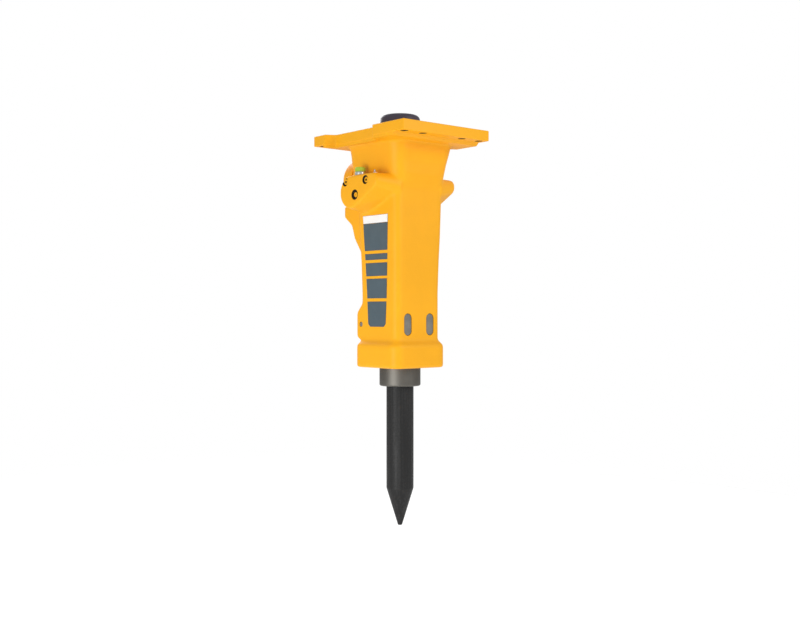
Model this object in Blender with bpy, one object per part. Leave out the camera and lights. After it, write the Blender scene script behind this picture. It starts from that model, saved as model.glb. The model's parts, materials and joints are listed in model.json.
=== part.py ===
"""Hydraulic breaker hammer, built piece by piece as it comes apart on a bench.

Metres, +Z up. The origin is the centre of the flange's top face. X runs from side boss to side boss,
-Y is the front, where the retainer bars go in, and +Y the back, with the accumulator and the valve.
The breaker hangs at rest: the tool sits on its retainer bars and the piston is at the bottom of its stroke.
Heights are Z values, so everything under the flange's top is negative.
"""
import math

import bmesh
import bpy
from mathutils import Matrix, Vector

# ---- fits -----------------------------------------------------------------------------------------------
GAP = 0.0003             # between two faces that rest on each other
FIT = 0.0005             # round a piece that sits in a bore
RUN = 0.0010             # round a piece that turns or slides in a bore
ROUND = 24               # sides of the large round pieces
SMALL_ROUND = 12         # sides of screws, pins and fittings
ARC = 4                  # steps in a rounded corner
STADIUM_STEPS = 8        # steps in an oblong's round end
OVER = 0.0100            # how far a cutter runs past the face it opens

# ---- flange ---------------------------------------------------------------------------------------------
FLANGE_HALF_X = 0.1937
FLANGE_HALF_Y = 0.2464
FLANGE_THICK = 0.0354
FLANGE_CORNER = 0.003
FLANGE_WEB_THICK = 0.0460  # thicker between the two rows of bolts
FLANGE_WEB_SLOPE = 0.0120
BOLT_HOLE_RADIUS = 0.014
BOLT_HOLE_PITCH = 0.0800
BOLT_EDGE_X = 0.0257       # from a hole's middle to the flange's edges
BOLT_EDGE_Y = 0.0254
BOLT_HOLE_OUTER_X = FLANGE_HALF_X - BOLT_EDGE_X
BOLT_HOLE_INNER_X = BOLT_HOLE_OUTER_X - BOLT_HOLE_PITCH
BOLT_HOLE_Y = FLANGE_HALF_Y - BOLT_EDGE_Y
FLANGE_WEB_Y = BOLT_HOLE_Y - 1.5 * BOLT_HOLE_RADIUS
SCALLOP_DEEP = 0.034     # hose clearance cut into each side edge
SCALLOP_SLOPE = 0.020    # its ends slope by this much
SCALLOP_CORNER = 0.012
FRONT_LOBE = 0.1604      # length of the flange's lobes along Y
BACK_LOBE = 0.0664
SCALLOP_FRONT_Y = -FLANGE_HALF_Y + FRONT_LOBE + SCALLOP_SLOPE
SCALLOP_BACK_Y = FLANGE_HALF_Y - BACK_LOBE - SCALLOP_SLOPE

# ---- barrel ---------------------------------------------------------------------------------------------
BARREL_HALF = 0.1015     # half width of the straight lower stretch
BARREL_CORNER = 0.0270
NECK_CORNER = 0.0500     # the neck is rounder than the barrel
NECK_BACK = 0.0400       # how far the neck's back stands out over the barrel's
BULGE_DEEP = 0.0295      # of the bulge round the retainer bars' back ends
# from the flange down: (height, what side, front and back stand out over BARREL_HALF, corner radius)
BARREL_LEVELS = [
    (-0.0450, 0.0425, 0.0465, 0.0435, 0.0480),
    (-0.0520, 0.0355, 0.0414, NECK_BACK, NECK_CORNER),
    (-0.0760, 0.0295, 0.0398, NECK_BACK, NECK_CORNER),
    (-0.1120, 0.0230, 0.0291, NECK_BACK, 0.0450),
    (-0.1540, 0.0155, 0.0243, 0.0335, 0.0450),
    (-0.2000, 0.0097, 0.0110, 0.0185, 0.0340),
    (-0.2520, 0.0080, 0.0080, 0.0080, BARREL_CORNER),
    (-0.3650, 0.0055, 0.0055, 0.0055, BARREL_CORNER),
    (-0.4490, 0.0025, 0.0025, 0.0025, BARREL_CORNER),
    (-0.5600, 0, 0, 0, BARREL_CORNER),
    (-0.5940, 0, 0, 0, BARREL_CORNER),
    (-0.6260, 0, 0, BULGE_DEEP, BARREL_CORNER),
    (-0.7110, 0, 0, BULGE_DEEP, BARREL_CORNER),
]

# ---- bottom collar --------------------------------------------------------------------------------------
COLLAR_TOP = -0.7240
COLLAR_SHOULDER = -0.7390
COLLAR_BOTTOM = -0.8170
COLLAR_PROUD = 0.0171    # how far it stands out over the barrel
COLLAR_HALF = BARREL_HALF + COLLAR_PROUD
COLLAR_CORNER = 0.040
COLLAR_EDGE = 0.0035
BAND_HIGH = 0.0045       # shallow groove between barrel and collar
BAND_DEEP = 0.0020

# ---- side bosses ----------------------------------------------------------------------------------------
BOSS_PROUD = 0.0785      # how far the bosses' faces stand out over the barrel
BOSS_ROOT_DEEP = 0.0115  # how far their roots lie inside it
BOSS_FACE_X = BARREL_HALF + BOSS_PROUD
BOSS_ROOT_X = BARREL_HALF - BOSS_ROOT_DEEP
BOSS_TOP = -0.1550
BOSS_ROUND = 0.0560      # radius of the round rear end
BOSS_BACK_Y = 0.1100
BOSS_FRONT_Y = -0.0890
BOSS_NOSE = 0.0260       # radius of the round front end
BOSS_FLARE_FRONT = 0.0280
BOSS_FLARE_LOW = 0.0180
BOSS_FLARE_NOSE = 0.0140
BOSS_EDGE = 0.0040
BOSS_STEPS = 12          # steps round the rear end
NOSE_STEPS = 8           # steps round the front end
PLUG_PLACES = [(-0.032, -0.177, 0.0130), (0.080, -0.175, 0.0135), (0.026, -0.223, 0.0155)]
PLUG_DEEP = 0.0260       # depth of the plug holes
PLUG_SUNK = 0.0030       # how far a plug's head lies under the face
PLUG_HEX_DEEP = 0.0100
PLUG_HEX_SHARE = 0.55    # of the plug's radius
PORT_INSET = 0.0300      # from the boss's face to the port's axis
PORT_X = BOSS_FACE_X - PORT_INSET
PORT_Y = 0.0340
PORT_RADIUS = 0.0165
PORT_DEEP = 0.0650
PORT_SEAT_RADIUS = 0.0190
PORT_WASHER_HIGH = 0.0020
PORT_HEAD_HIGH = 0.0100
PORT_SHANK_DEEP = 0.0200
PORT_THREAD_RADIUS = 0.0130
PORT_THREAD_HIGH = 0.0100
CAP_RADIUS = 0.0180
CAP_HIGH = 0.0155
CAP_ROOF = 0.0040
CAP_EDGE = 0.0020
GALLERY_RADIUS = 0.0090
GALLERY_RISE = 0.0140    # of the gallery's axis over the port's floor
NIPPLE_INSET = 0.0350
NIPPLE_PLACE = (NIPPLE_INSET - BOSS_FACE_X, -0.0400)
NIPPLE_RADIUS = 0.0050
NIPPLE_DEEP = 0.0120
NIPPLE_NUT_RADIUS = 0.0075
NIPPLE_NUT_HIGH = 0.0060
NIPPLE_NECK_RADIUS = 0.0030
NIPPLE_BALL_RADIUS = 0.0040
NIPPLE_HIGH = 0.0140

# ---- backhead and gas chamber -----------------------------------------------------------------------------
BACKHEAD_RADIUS = 0.0700
BACKHEAD_TOP = 0.0630
BACKHEAD_EDGE = 0.0160
BACKHEAD_SEAT_DEEP = 0.0010  # of the spot face it sits in
BACKHEAD_RECESS = 0.0120     # depth of the recess in its top
BACKHEAD_RECESS_MOUTH = 0.0300
BACKHEAD_RECESS_FLOOR = 0.0260
SPIGOT_RADIUS = 0.0630
SPIGOT_BOTTOM = -0.0400
GAS_CHAMBER_RADIUS = 0.0480
GAS_CHAMBER_TOP = 0.0380
GAS_CHAMBER_EDGE = 0.0100
GAS_VALVE_RADIUS = 0.0100
GAS_VALVE_HEAD_RADIUS = 0.0160
GAS_VALVE_HEAD_HIGH = 0.0060
GAS_VALVE_STEM_RADIUS = 0.0060
GAS_VALVE_HIGH = 0.0100
O_RING_THICK = 0.0040
O_RING_RISE = 0.0120     # of its groove over the spigot's bottom

# ---- percussion: piston in its liner ----------------------------------------------------------------------
LINER_RADIUS = 0.0600
LINER_TOP = -0.1180
LINER_BOTTOM = -0.4300
LINER_GUIDE_HIGH = 0.0300
PISTON_STROKE = 0.0750
PISTON_BOTTOM = -0.4535
PISTON_TOP = -0.1095
PISTON_STEM_RADIUS = 0.0400
PISTON_LAND_RADIUS = 0.0440
PISTON_UPPER_RADIUS = 0.0360
LAND_BOTTOM = -0.3450
LAND_TOP = -0.2050
LAND_GROOVE_HIGH = 0.0400
LAND_GROOVE_DEEP = 0.0030
SEAL_WALL = 0.0050       # thickness of the piston seals' rings
SEAL_HIGH = 0.0080
GAS_SEAL_DROP = 0.0240   # of its groove under the seal carrier's top
UPPER_SEAL_RISE = 0.0180  # of its groove over the liner's top
LOWER_SEAL_RISE = 0.0100  # of its groove over the liner's bottom
PISTON_EDGE = 0.0040
STEM_RELIEF = 0.0030     # round the piston under its liner

# ---- tool, its bushes and retainer bars -------------------------------------------------------------------
TOOL_RADIUS = 0.0475
TOOL_TRAVEL = 0.0550
TOOL_TOP = -0.5090
TOOL_NECK_DEEP = 0.0055    # how far the neck lies under the shank
TOOL_NECK_RADIUS = TOOL_RADIUS - TOOL_NECK_DEEP
TOOL_SHOULDER = -0.5400
TOOL_TAPER = -1.2390
TOOL_TIP = -1.3695
TOOL_TIP_RADIUS = 0.00825
TOOL_TIP_EDGE = 0.0025
TOOL_EDGE = 0.0040
TOOL_FLAT_DEEP = 0.0140
BAR_WIDE = 0.0320
BAR_HIGH = 0.0740
BAR_Z = -0.6670
BAR_PLUG_THICK = 0.0120
RUBBER_SUNK = 0.0010     # how far the rubber plugs lie under their faces
RUBBER_EDGE = 0.0010
TOOL_CLEARANCE = 0.0010
BAR_PAST = 0.0105          # how far the bars run past the back of the straight barrel
BAR_BACK_Y = BARREL_HALF + BAR_PAST
UPPER_BUSH_WALL = 0.0175   # from the tool to the bore that its upper bush sits in
UPPER_BORE_RADIUS = TOOL_RADIUS + TOOL_CLEARANCE + UPPER_BUSH_WALL + FIT
THRUST_RING_TOP = -0.4560
BAR_HEADROOM = 0.0040      # between the bars and the upper bush
LOWER_BUSH_DROP = 0.0180   # between the bars and the lower bush
LOWER_BUSH_WALL = 0.0234
LOWER_BUSH_RADIUS = TOOL_RADIUS + TOOL_CLEARANCE + LOWER_BUSH_WALL
LOWER_BUSH_BOTTOM = -0.8820
LOWER_BUSH_EDGE = 0.0050
BUSH_PIN_RADIUS = 0.0080
BUSH_PIN_Z = -0.7700
BUSH_PIN_FRONT_Y = -0.0400
LOCK_PIN_RADIUS = 0.0080
LOCK_PIN_INSET = 0.0200   # from the bars' back ends
LOCK_PIN_Y = BAR_BACK_Y - LOCK_PIN_INSET
LOCK_PIN_PAST = 0.0090   # how far it runs past the far bar
LOCK_PLUG_THICK = 0.0060
DUST_SEAL_Z = -0.8700
DUST_SEAL_HIGH = 0.0080
DUST_SEAL_WALL = 0.0045

# ---- back: accumulator and control valve ------------------------------------------------------------------
ACCUMULATOR_Z = -0.1510
ACCUMULATOR_RADIUS = 0.0800
ACCUMULATOR_FACE_Y = 0.1760
ACCUMULATOR_BACK_Y = 0.2260
ACCUMULATOR_ROOT_Y = 0.0800
ACCUMULATOR_EDGE = 0.0040
ACCUMULATOR_RIM = 0.0300   # wall round the dish
ACCUMULATOR_DISH = ACCUMULATOR_RADIUS - ACCUMULATOR_RIM
DISH_DEEP = 0.0360
DISH_WALL_HIGH = 0.0120
DISH_FLOOR_RADIUS = 0.0300
CAVE_RADIUS = 0.0320     # the space for gas inside the cover
CAVE_ROOF = 0.0160
CAVE_WALL_HIGH = 0.0100
CHARGE_VALVE_RADIUS = 0.0090
CHARGE_VALVE_DEEP = 0.0140
CHARGE_VALVE_HEAD_RADIUS = 0.0140
CHARGE_VALVE_HEAD_HIGH = 0.0060
CHARGE_VALVE_STEM_RADIUS = 0.0060
CHARGE_VALVE_HIGH = 0.0140
GALLERY_START = 0.0400   # inside the liner's bore, where the galleries open
ACCUMULATOR_BOLTS = 6
ACCUMULATOR_BOLT_INSET = 0.0145
ACCUMULATOR_BOLT_CIRCLE = ACCUMULATOR_RADIUS - ACCUMULATOR_BOLT_INSET
DIAPHRAGM_THICK = 0.0030
DIAPHRAGM_RIM = 0.0060   # width of its clamped rim
DIAPHRAGM_RISE = 0.0140
DIAPHRAGM_CROWN = 0.0040
DIAPHRAGM_FLAT_RADIUS = 0.0340
DIAPHRAGM_BEND = 0.0040  # from the dish's wall to the bend
BOLT_RADIUS = 0.0060
BOLT_HEAD_RADIUS = 0.0095
BOLT_HEAD_HIGH = 0.0080
BOLT_DEEP = 0.0240
BOLT_FREE = 0.0020       # left free at the bottom of a bolt hole
BOLT_SUNK = 0.0020       # of the accumulator bolts' heads
BOLT_HEX_SHARE = 0.85    # of the shank's radius
BOLT_HEX_FLOOR = 0.4     # share of the head under the hexagon
VALVE_HALF_X = 0.0950
VALVE_DROP = 0.0140      # between the accumulator and the valve's housing
VALVE_TOP = ACCUMULATOR_Z - ACCUMULATOR_RADIUS - VALVE_DROP
VALVE_FACE_BOTTOM = VALVE_TOP - 0.0410
VALVE_SLOPE = [(0.1400, VALVE_TOP - 0.1200), (0.1570, VALVE_TOP - 0.0720)]
VALVE_FOOT = VALVE_TOP - 0.1690
VALVE_FACE_Y = 0.1980
VALVE_COVER_THICK = 0.0120
VALVE_COVER_HALF_X = 0.0720
VALVE_COVER_HALF_Z = 0.0185
VALVE_COVER_CORNER = 0.0100
VALVE_COVER_EDGE = 0.0020
VALVE_SEAL_HIGH = 0.0020
VALVE_SEAL_WALL = 0.0030
VALVE_ROOT_Y = 0.0915
VALVE_SLEEVE_RADIUS = 0.0150
VALVE_SPOOL_RADIUS = 0.0090
VALVE_WAIST_DEEP = 0.0030
VALVE_TRAVEL = 0.0120
VALVE_BOLTS_X = (-0.0580, -0.0320, 0.0320, 0.0580)
VALVE_BORE_FRONT_Y = 0.0820

# ---- side decals ----------------------------------------------------------------------------------------
DECAL_THICK = 0.0006
DECAL_Y = 0.0030
DECAL_TOP = -0.2900
DECAL_BOTTOM = -0.6750
DECAL_TOP_HALF = 0.0680
DECAL_BOTTOM_HALF = 0.0470
DECAL_CHAMFER = 0.0120

AXES = {
    "+Z": ((1, 0, 0), (0, 1, 0), (0, 0, 1)),
    "+X": ((0, 1, 0), (0, 0, 1), (1, 0, 0)),
    "-X": ((0, -1, 0), (0, 0, 1), (-1, 0, 0)),
    "+Y": ((-1, 0, 0), (0, 0, 1), (0, 1, 0)),
    "-Y": ((1, 0, 0), (0, 0, 1), (0, -1, 0)),
}


# ---- materials ------------------------------------------------------------------------------------------
def look(name, colour, rough, metal=0.0):
    material = bpy.data.materials.new(name)
    material.use_nodes = True
    shader = material.node_tree.nodes["Principled BSDF"]
    shader.inputs["Base Color"].default_value = (*colour, 1.0)
    shader.inputs["Roughness"].default_value = rough
    shader.inputs["Metallic"].default_value = metal
    material.diffuse_color = (*colour, 1.0)
    return material


PAINT = look("yellow_paint", (0.95, 0.44, 0.03), 0.45)
DARK_PAINT = look("dark_paint", (0.06, 0.05, 0.07), 0.5)
TOOL_STEEL = look("tool_steel", (0.04, 0.04, 0.04), 0.4, 0.8)
BUSH_STEEL = look("bush_steel", (0.20, 0.19, 0.20), 0.4, 0.9)
BRIGHT_STEEL = look("bright_steel", (0.60, 0.60, 0.60), 0.25, 1.0)
BLACK_STEEL = look("black_steel", (0.09, 0.09, 0.09), 0.45, 0.9)
GREY_RUBBER = look("grey_rubber", (0.22, 0.21, 0.22), 0.7)
BLACK_RUBBER = look("black_rubber", (0.02, 0.02, 0.02), 0.7)
LIME_PLASTIC = look("lime_plastic", (0.36, 0.55, 0.05), 0.4)
DECAL_FILM = look("decal_film", (0.11, 0.15, 0.19), 0.35)


# ---- modelling helpers ----------------------------------------------------------------------------------
def finish_mesh(name, shape, material, axis="+Z", at=(0, 0, 0)):
    """Turns a bmesh into a named object standing on the given axis."""
    bmesh.ops.recalc_face_normals(shape, faces=shape.faces)
    mesh = bpy.data.meshes.new(name)
    shape.to_mesh(mesh)
    shape.free()
    mesh.shade_smooth()
    mesh.set_sharp_from_angle(angle=math.radians(30))
    if material is not None:
        mesh.materials.append(material)
    piece = bpy.data.objects.new(name, mesh)
    piece.rotation_euler = Matrix(AXES[axis]).transposed().to_euler()
    piece.location = at
    bpy.context.collection.objects.link(piece)
    return piece


def turned(name, profile, material=None, axis="+Z", at=(0, 0, 0), sides=ROUND):
    """Solid of revolution: (radius, height) points in order round the section, heights along the axis."""
    shape = bmesh.new()
    points = [shape.verts.new((radius, 0, height)) for radius, height in profile]
    edges = [shape.edges.new(pair) for pair in zip(points, points[1:])]
    if profile[0][0] > 0 or profile[-1][0] > 0:
        edges.append(shape.edges.new((points[-1], points[0])))
    bmesh.ops.spin(shape, geom=points + edges, cent=(0, 0, 0), axis=(0, 0, 1), angle=math.tau,
                   steps=sides, use_merge=True)
    bmesh.ops.remove_doubles(shape, verts=shape.verts, dist=1e-6)
    return finish_mesh(name, shape, material, axis, at)


def ring(name, outer, inner, low, high, material=None, axis="+Z", at=(0, 0, 0), sides=ROUND):
    profile = [(outer, low), (outer, high), (inner, high), (inner, low)]
    return turned(name, profile, material, axis, at, sides)


def rod(name, radius, low, high, material=None, axis="+Z", at=(0, 0, 0), sides=ROUND):
    profile = [(0, low), (radius, low), (radius, high), (0, high)]
    return turned(name, profile, material, axis, at, sides)


def rounded(corners, steps=ARC):
    """Outline of a polygon of (u, v, radius) corners, each rounded by its own radius."""
    outline = []
    for index, (u, v, radius) in enumerate(corners):
        corner = Vector((u, v))
        before = (Vector(corners[index - 1][:2]) - corner).normalized()
        after = (Vector(corners[(index + 1) % len(corners)][:2]) - corner).normalized()
        if radius == 0:
            outline.append(corner)
            continue
        half = before.angle(after) / 2
        centre = corner + (before + after).normalized() * radius / math.sin(half)
        start = corner + before * radius / math.tan(half) - centre
        end = corner + after * radius / math.tan(half) - centre
        turn = -start.angle_signed(end)
        outline += [centre + Matrix.Rotation(turn * step / steps, 2) @ start for step in range(steps + 1)]
    return outline


def rectangle(half_u, half_v, radius=0.0, centre=(0, 0)):
    u, v = centre
    return rounded([(u + half_u, v + half_v, radius), (u - half_u, v + half_v, radius),
                    (u - half_u, v - half_v, radius), (u + half_u, v - half_v, radius)])


def stadium(half_u, half_v, centre=(0, 0)):
    """Upright oblong with fully round ends."""
    u, v = centre
    straight = half_v - half_u
    outline = []
    for end, begin in ((1, 0.0), (-1, math.pi)):
        for step in range(STADIUM_STEPS + 1):
            angle = begin + math.pi * step / STADIUM_STEPS
            outline.append((u + half_u * math.cos(angle), v + end * straight + half_u * math.sin(angle)))
    return outline


def loft(name, sections, material=None, axis="+Z", at=(0, 0, 0)):
    """Closed solid through sections of (u, v, w) points, all with the same number of points."""
    shape = bmesh.new()
    loops = [[shape.verts.new(point) for point in section] for section in sections]
    count = len(sections[0])
    for near, far in zip(loops, loops[1:]):
        for index in range(count):
            follow = (index + 1) % count
            shape.faces.new((near[index], near[follow], far[follow], far[index]))
    shape.faces.new(loops[0][::-1])
    shape.faces.new(loops[-1])
    return finish_mesh(name, shape, material, axis, at)


def prism(name, outline, low, high, material=None, axis="+Z", at=(0, 0, 0), edge=0.0):
    """Outline extruded from low to high; edge cuts a small chamfer round the high end."""
    levels = [(low, 0.0), (high, 0.0)]
    if edge:
        levels = [(low, 0.0), (high - edge, 0.0), (high, edge)]
    return loft(name, [level_outline(outline, level, inset) for level, inset in levels], material, axis, at)


def level_outline(outline, level, inset=0.0):
    """The outline at a level, moved inward by inset along the bisector at each point."""
    section = []
    for index, point in enumerate(outline):
        point = Vector(point)
        along = (point - Vector(outline[index - 1])).normalized()
        onward = (Vector(outline[(index + 1) % len(outline)]) - point).normalized()
        inward = Vector((-(along + onward).y, (along + onward).x)).normalized()
        moved = point + inward * inset / max(inward.dot(Vector((-along.y, along.x))), 0.5)
        section.append((moved.x, moved.y, level))
    return section


def combine(piece, other, operation):
    """Unites or cuts a piece with a guide shape, which is then hidden."""
    other.hide_render = True
    other.display_type = "WIRE"
    boolean = piece.modifiers.new(other.name, "BOOLEAN")
    boolean.operation = operation
    boolean.object = other


def cut(piece, *cutters):
    for cutter in cutters:
        combine(piece, cutter, "DIFFERENCE")


def join(piece, *additions):
    for addition in additions:
        combine(piece, addition, "UNION")


# ---- places shared by the pieces ------------------------------------------------------------------------
SIDES = {"left": -1, "right": 1}
BAR_HALF_WIDE = BAR_WIDE / 2
BAR_HALF_HIGH = BAR_HIGH / 2
BAR_TOP = BAR_Z + BAR_HALF_HIGH
BAR_BOTTOM = BAR_Z - BAR_HALF_HIGH
TOOL_FLAT_X = TOOL_RADIUS - TOOL_FLAT_DEEP
BAR_X = TOOL_FLAT_X + FIT + BAR_HALF_WIDE
UPPER_BUSH_BOTTOM = BAR_TOP + BAR_HEADROOM
LOWER_BUSH_TOP = BAR_BOTTOM - LOWER_BUSH_DROP
THRUST_RING_BOTTOM = TOOL_SHOULDER + TOOL_TRAVEL + GAP
SPIGOT_BORE_RADIUS = SPIGOT_RADIUS + FIT
BACKHEAD_SEAT = -BACKHEAD_SEAT_DEEP + GAP
LINER_BORE_RADIUS = LINER_RADIUS + FIT
LOWER_BORE_RADIUS = LOWER_BUSH_RADIUS + RUN
BUSH_PIN_X = LOWER_BUSH_RADIUS
VALVE_Z = (VALVE_TOP + VALVE_FACE_BOTTOM) / 2
LOCK_PIN_END = BAR_X + BAR_HALF_WIDE + LOCK_PIN_PAST
ACCUMULATOR_BOLT_TURNS = [math.tau * (turn + 0.5) / ACCUMULATOR_BOLTS for turn in range(ACCUMULATOR_BOLTS)]
ACCUMULATOR_BOLT_PLACES = [
    (ACCUMULATOR_BOLT_CIRCLE * math.cos(turn), 0, ACCUMULATOR_Z + ACCUMULATOR_BOLT_CIRCLE * math.sin(turn))
    for turn in ACCUMULATOR_BOLT_TURNS]


def barrel_half(height):
    """Half width of the barrel's side faces at a height."""
    for (top, wide, *_), (bottom, narrow, *_) in zip(BARREL_LEVELS, BARREL_LEVELS[1:]):
        if bottom <= height <= top:
            return BARREL_HALF + narrow + (wide - narrow) * (height - bottom) / (top - bottom)
    return BARREL_HALF


def section(height, side, front, back, corner):
    """Rounded rectangle at a height."""
    outline = rectangle(side, (front + back) / 2, corner, (0, (back - front) / 2))
    return [(u, v, height) for u, v in outline]


def square_section(height, half, corner):
    return section(height, half, half, half, corner)


# ---- body casting ---------------------------------------------------------------------------------------
def barrel_and_collar():
    band_top = COLLAR_TOP + BAND_HIGH
    band_half = BARREL_HALF - BAND_DEEP
    lip_half = COLLAR_HALF - (COLLAR_TOP - COLLAR_SHOULDER)
    edge_half = COLLAR_HALF - COLLAR_EDGE
    edge_corner = COLLAR_CORNER - COLLAR_EDGE
    return loft("body", [
        *[section(height, BARREL_HALF + side, BARREL_HALF + front, BARREL_HALF + back, corner)
          for height, side, front, back, corner in BARREL_LEVELS],
        section(band_top, BARREL_HALF, BARREL_HALF, COLLAR_HALF, BARREL_CORNER),
        square_section(band_top - GAP, band_half, BARREL_CORNER),
        square_section(COLLAR_TOP, band_half, BARREL_CORNER),
        square_section(COLLAR_TOP - GAP, lip_half, BARREL_CORNER),
        square_section(COLLAR_SHOULDER, COLLAR_HALF, COLLAR_CORNER),
        square_section(COLLAR_BOTTOM + COLLAR_EDGE, COLLAR_HALF, COLLAR_CORNER),
        square_section(COLLAR_BOTTOM, edge_half, edge_corner)], PAINT)


def flange_outline(end_y):
    """Four lobes: the side edges are scalloped between them."""
    inner = FLANGE_HALF_X - SCALLOP_DEEP
    half_x, small = FLANGE_HALF_X, FLANGE_CORNER
    right = [(half_x, -end_y, small), (half_x, SCALLOP_FRONT_Y - SCALLOP_SLOPE, small),
             (inner, SCALLOP_FRONT_Y, SCALLOP_CORNER), (inner, SCALLOP_BACK_Y, SCALLOP_CORNER),
             (half_x, SCALLOP_BACK_Y + SCALLOP_SLOPE, small), (half_x, end_y, small)]
    left = [(-x, y, radius) for x, y, radius in reversed(right)]
    return rounded(right + left)


def flange_plate():
    return prism("flange_plate", flange_outline(FLANGE_HALF_Y), -FLANGE_THICK, 0)


def flange_web():
    """The flange's thicker middle, which ends in a slope just inside each row of bolts."""
    return loft("flange_web", [
        level_outline(flange_outline(FLANGE_WEB_Y), -FLANGE_THICK + GAP),
        level_outline(flange_outline(FLANGE_WEB_Y - FLANGE_WEB_SLOPE), -FLANGE_WEB_THICK)])


def boss_outline(front_y, back_radius, nose_radius):
    """Side view of a boss: a large round end at the back and a small one in front, under one flat top."""
    back = Vector((BOSS_BACK_Y - BOSS_ROUND, BOSS_TOP - back_radius))
    nose = Vector((front_y + nose_radius, BOSS_TOP - nose_radius))
    along = nose - back
    lean = math.atan2(along.y, along.x) % math.tau
    touch = lean + math.acos((back_radius - nose_radius) / along.length)
    top = math.tau + math.pi / 2
    ends = ((back, back_radius, touch, top, BOSS_STEPS), (nose, nose_radius, top - math.tau, touch, NOSE_STEPS))
    outline = []
    for centre, radius, begin, finish, steps in ends:
        for step in range(steps + 1):
            angle = begin + (finish - begin) * step / steps
            outline.append((centre.x + radius * math.cos(angle), centre.y + radius * math.sin(angle)))
    return outline


def side_boss(side):
    """Boss on a side face, which spreads toward its root at the front and underneath."""
    root = boss_outline(BOSS_FRONT_Y - BOSS_FLARE_FRONT, BOSS_ROUND + BOSS_FLARE_LOW / 2,
                        BOSS_NOSE + BOSS_FLARE_NOSE)
    face = boss_outline(BOSS_FRONT_Y, BOSS_ROUND, BOSS_NOSE)
    sections = [level_outline(root, BOSS_ROOT_X), level_outline(face, BOSS_FACE_X - BOSS_EDGE),
                level_outline(face, BOSS_FACE_X, BOSS_EDGE)]
    sections = [[(side * w, u, v) for u, v, w in points] for points in sections]
    return loft("boss_guide", sections)


def upright_prism(name, outline, half_x):
    """Outline of (y, z) points, as wide as half_x on both sides of the middle."""
    return prism(name, outline, -half_x, half_x, axis="+X")


def back_housings():
    valve = [(VALVE_ROOT_Y, VALVE_TOP), (VALVE_ROOT_Y, VALVE_FOOT), (barrel_half(VALVE_FOOT), VALVE_FOOT),
             *VALVE_SLOPE, (VALVE_FACE_Y, VALVE_FACE_BOTTOM), (VALVE_FACE_Y, VALVE_TOP)]
    return (upright_prism("valve_housing_guide", valve, VALVE_HALF_X),
            rod("accumulator_housing_guide", ACCUMULATOR_RADIUS, ACCUMULATOR_ROOT_Y, ACCUMULATOR_FACE_Y,
                axis="+Y", at=(0, 0, ACCUMULATOR_Z)))


def main_bore():
    """Stepped bore from the top of the flange to the bottom of the collar."""
    seat = BACKHEAD_RADIUS + RUN
    relief = PISTON_STEM_RADIUS + STEM_RELIEF
    return turned("main_bore_guide", [
        (0, OVER), (seat, OVER), (seat, -BACKHEAD_SEAT_DEEP), (SPIGOT_BORE_RADIUS, -BACKHEAD_SEAT_DEEP),
        (SPIGOT_BORE_RADIUS, SPIGOT_BOTTOM - GAP), (LINER_BORE_RADIUS, SPIGOT_BOTTOM - GAP),
        (LINER_BORE_RADIUS, LINER_BOTTOM - GAP), (relief, LINER_BOTTOM - GAP), (relief, THRUST_RING_TOP + GAP),
        (UPPER_BORE_RADIUS, THRUST_RING_TOP + GAP), (UPPER_BORE_RADIUS, LOWER_BUSH_TOP + GAP),
        (LOWER_BORE_RADIUS, LOWER_BUSH_TOP + GAP), (LOWER_BORE_RADIUS, COLLAR_BOTTOM - OVER),
        (0, COLLAR_BOTTOM - OVER)])


def retainer_cuts(body):
    """Slots for the two bars, the lock pin's hole across their back ends and the bush pin's hole."""
    for side in SIDES.values():
        slot = stadium(BAR_HALF_WIDE + FIT, BAR_HALF_HIGH + FIT, (side * BAR_X, BAR_Z))
        cut(body, prism("bar_slot_guide", slot, -BAR_BACK_Y - GAP, BARREL_HALF + OVER, axis="-Y"))
    cut(body, rod("lock_pin_hole_guide", LOCK_PIN_RADIUS + FIT, -LOCK_PIN_END - RUN, BARREL_HALF + OVER,
                  axis="-X", at=(0, LOCK_PIN_Y, BAR_Z), sides=SMALL_ROUND))
    cut(body, rod("bush_pin_hole_guide", BUSH_PIN_RADIUS + FIT, BUSH_PIN_FRONT_Y - GAP, COLLAR_HALF + OVER,
                  axis="+Y", at=(BUSH_PIN_X, 0, BUSH_PIN_Z), sides=SMALL_ROUND))


def boss_cuts(body):
    """Plug holes, the port and its gallery to the liner, on both side bosses."""
    for side in SIDES.values():
        outward = "+X" if side > 0 else "-X"
        for y, z, radius in PLUG_PLACES:
            cut(body, rod("plug_hole_guide", radius + GAP, BOSS_FACE_X - PLUG_DEEP, BOSS_FACE_X + OVER,
                          axis=outward, at=(0, y, z), sides=SMALL_ROUND))
        cut(body, rod("port_guide", PORT_RADIUS + GAP, BOSS_TOP - PORT_DEEP, BOSS_TOP + OVER,
                      at=(side * PORT_X, PORT_Y, 0), sides=SMALL_ROUND))
        cut(body, rod("gallery_guide", GALLERY_RADIUS, GALLERY_START, PORT_X, axis=outward,
                      at=(0, PORT_Y, BOSS_TOP - PORT_DEEP + GALLERY_RISE), sides=SMALL_ROUND))
    cut(body, rod("nipple_hole_guide", NIPPLE_RADIUS + GAP, BOSS_TOP - NIPPLE_DEEP - GAP, BOSS_TOP + OVER,
                  at=(*NIPPLE_PLACE, 0), sides=SMALL_ROUND))


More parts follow.
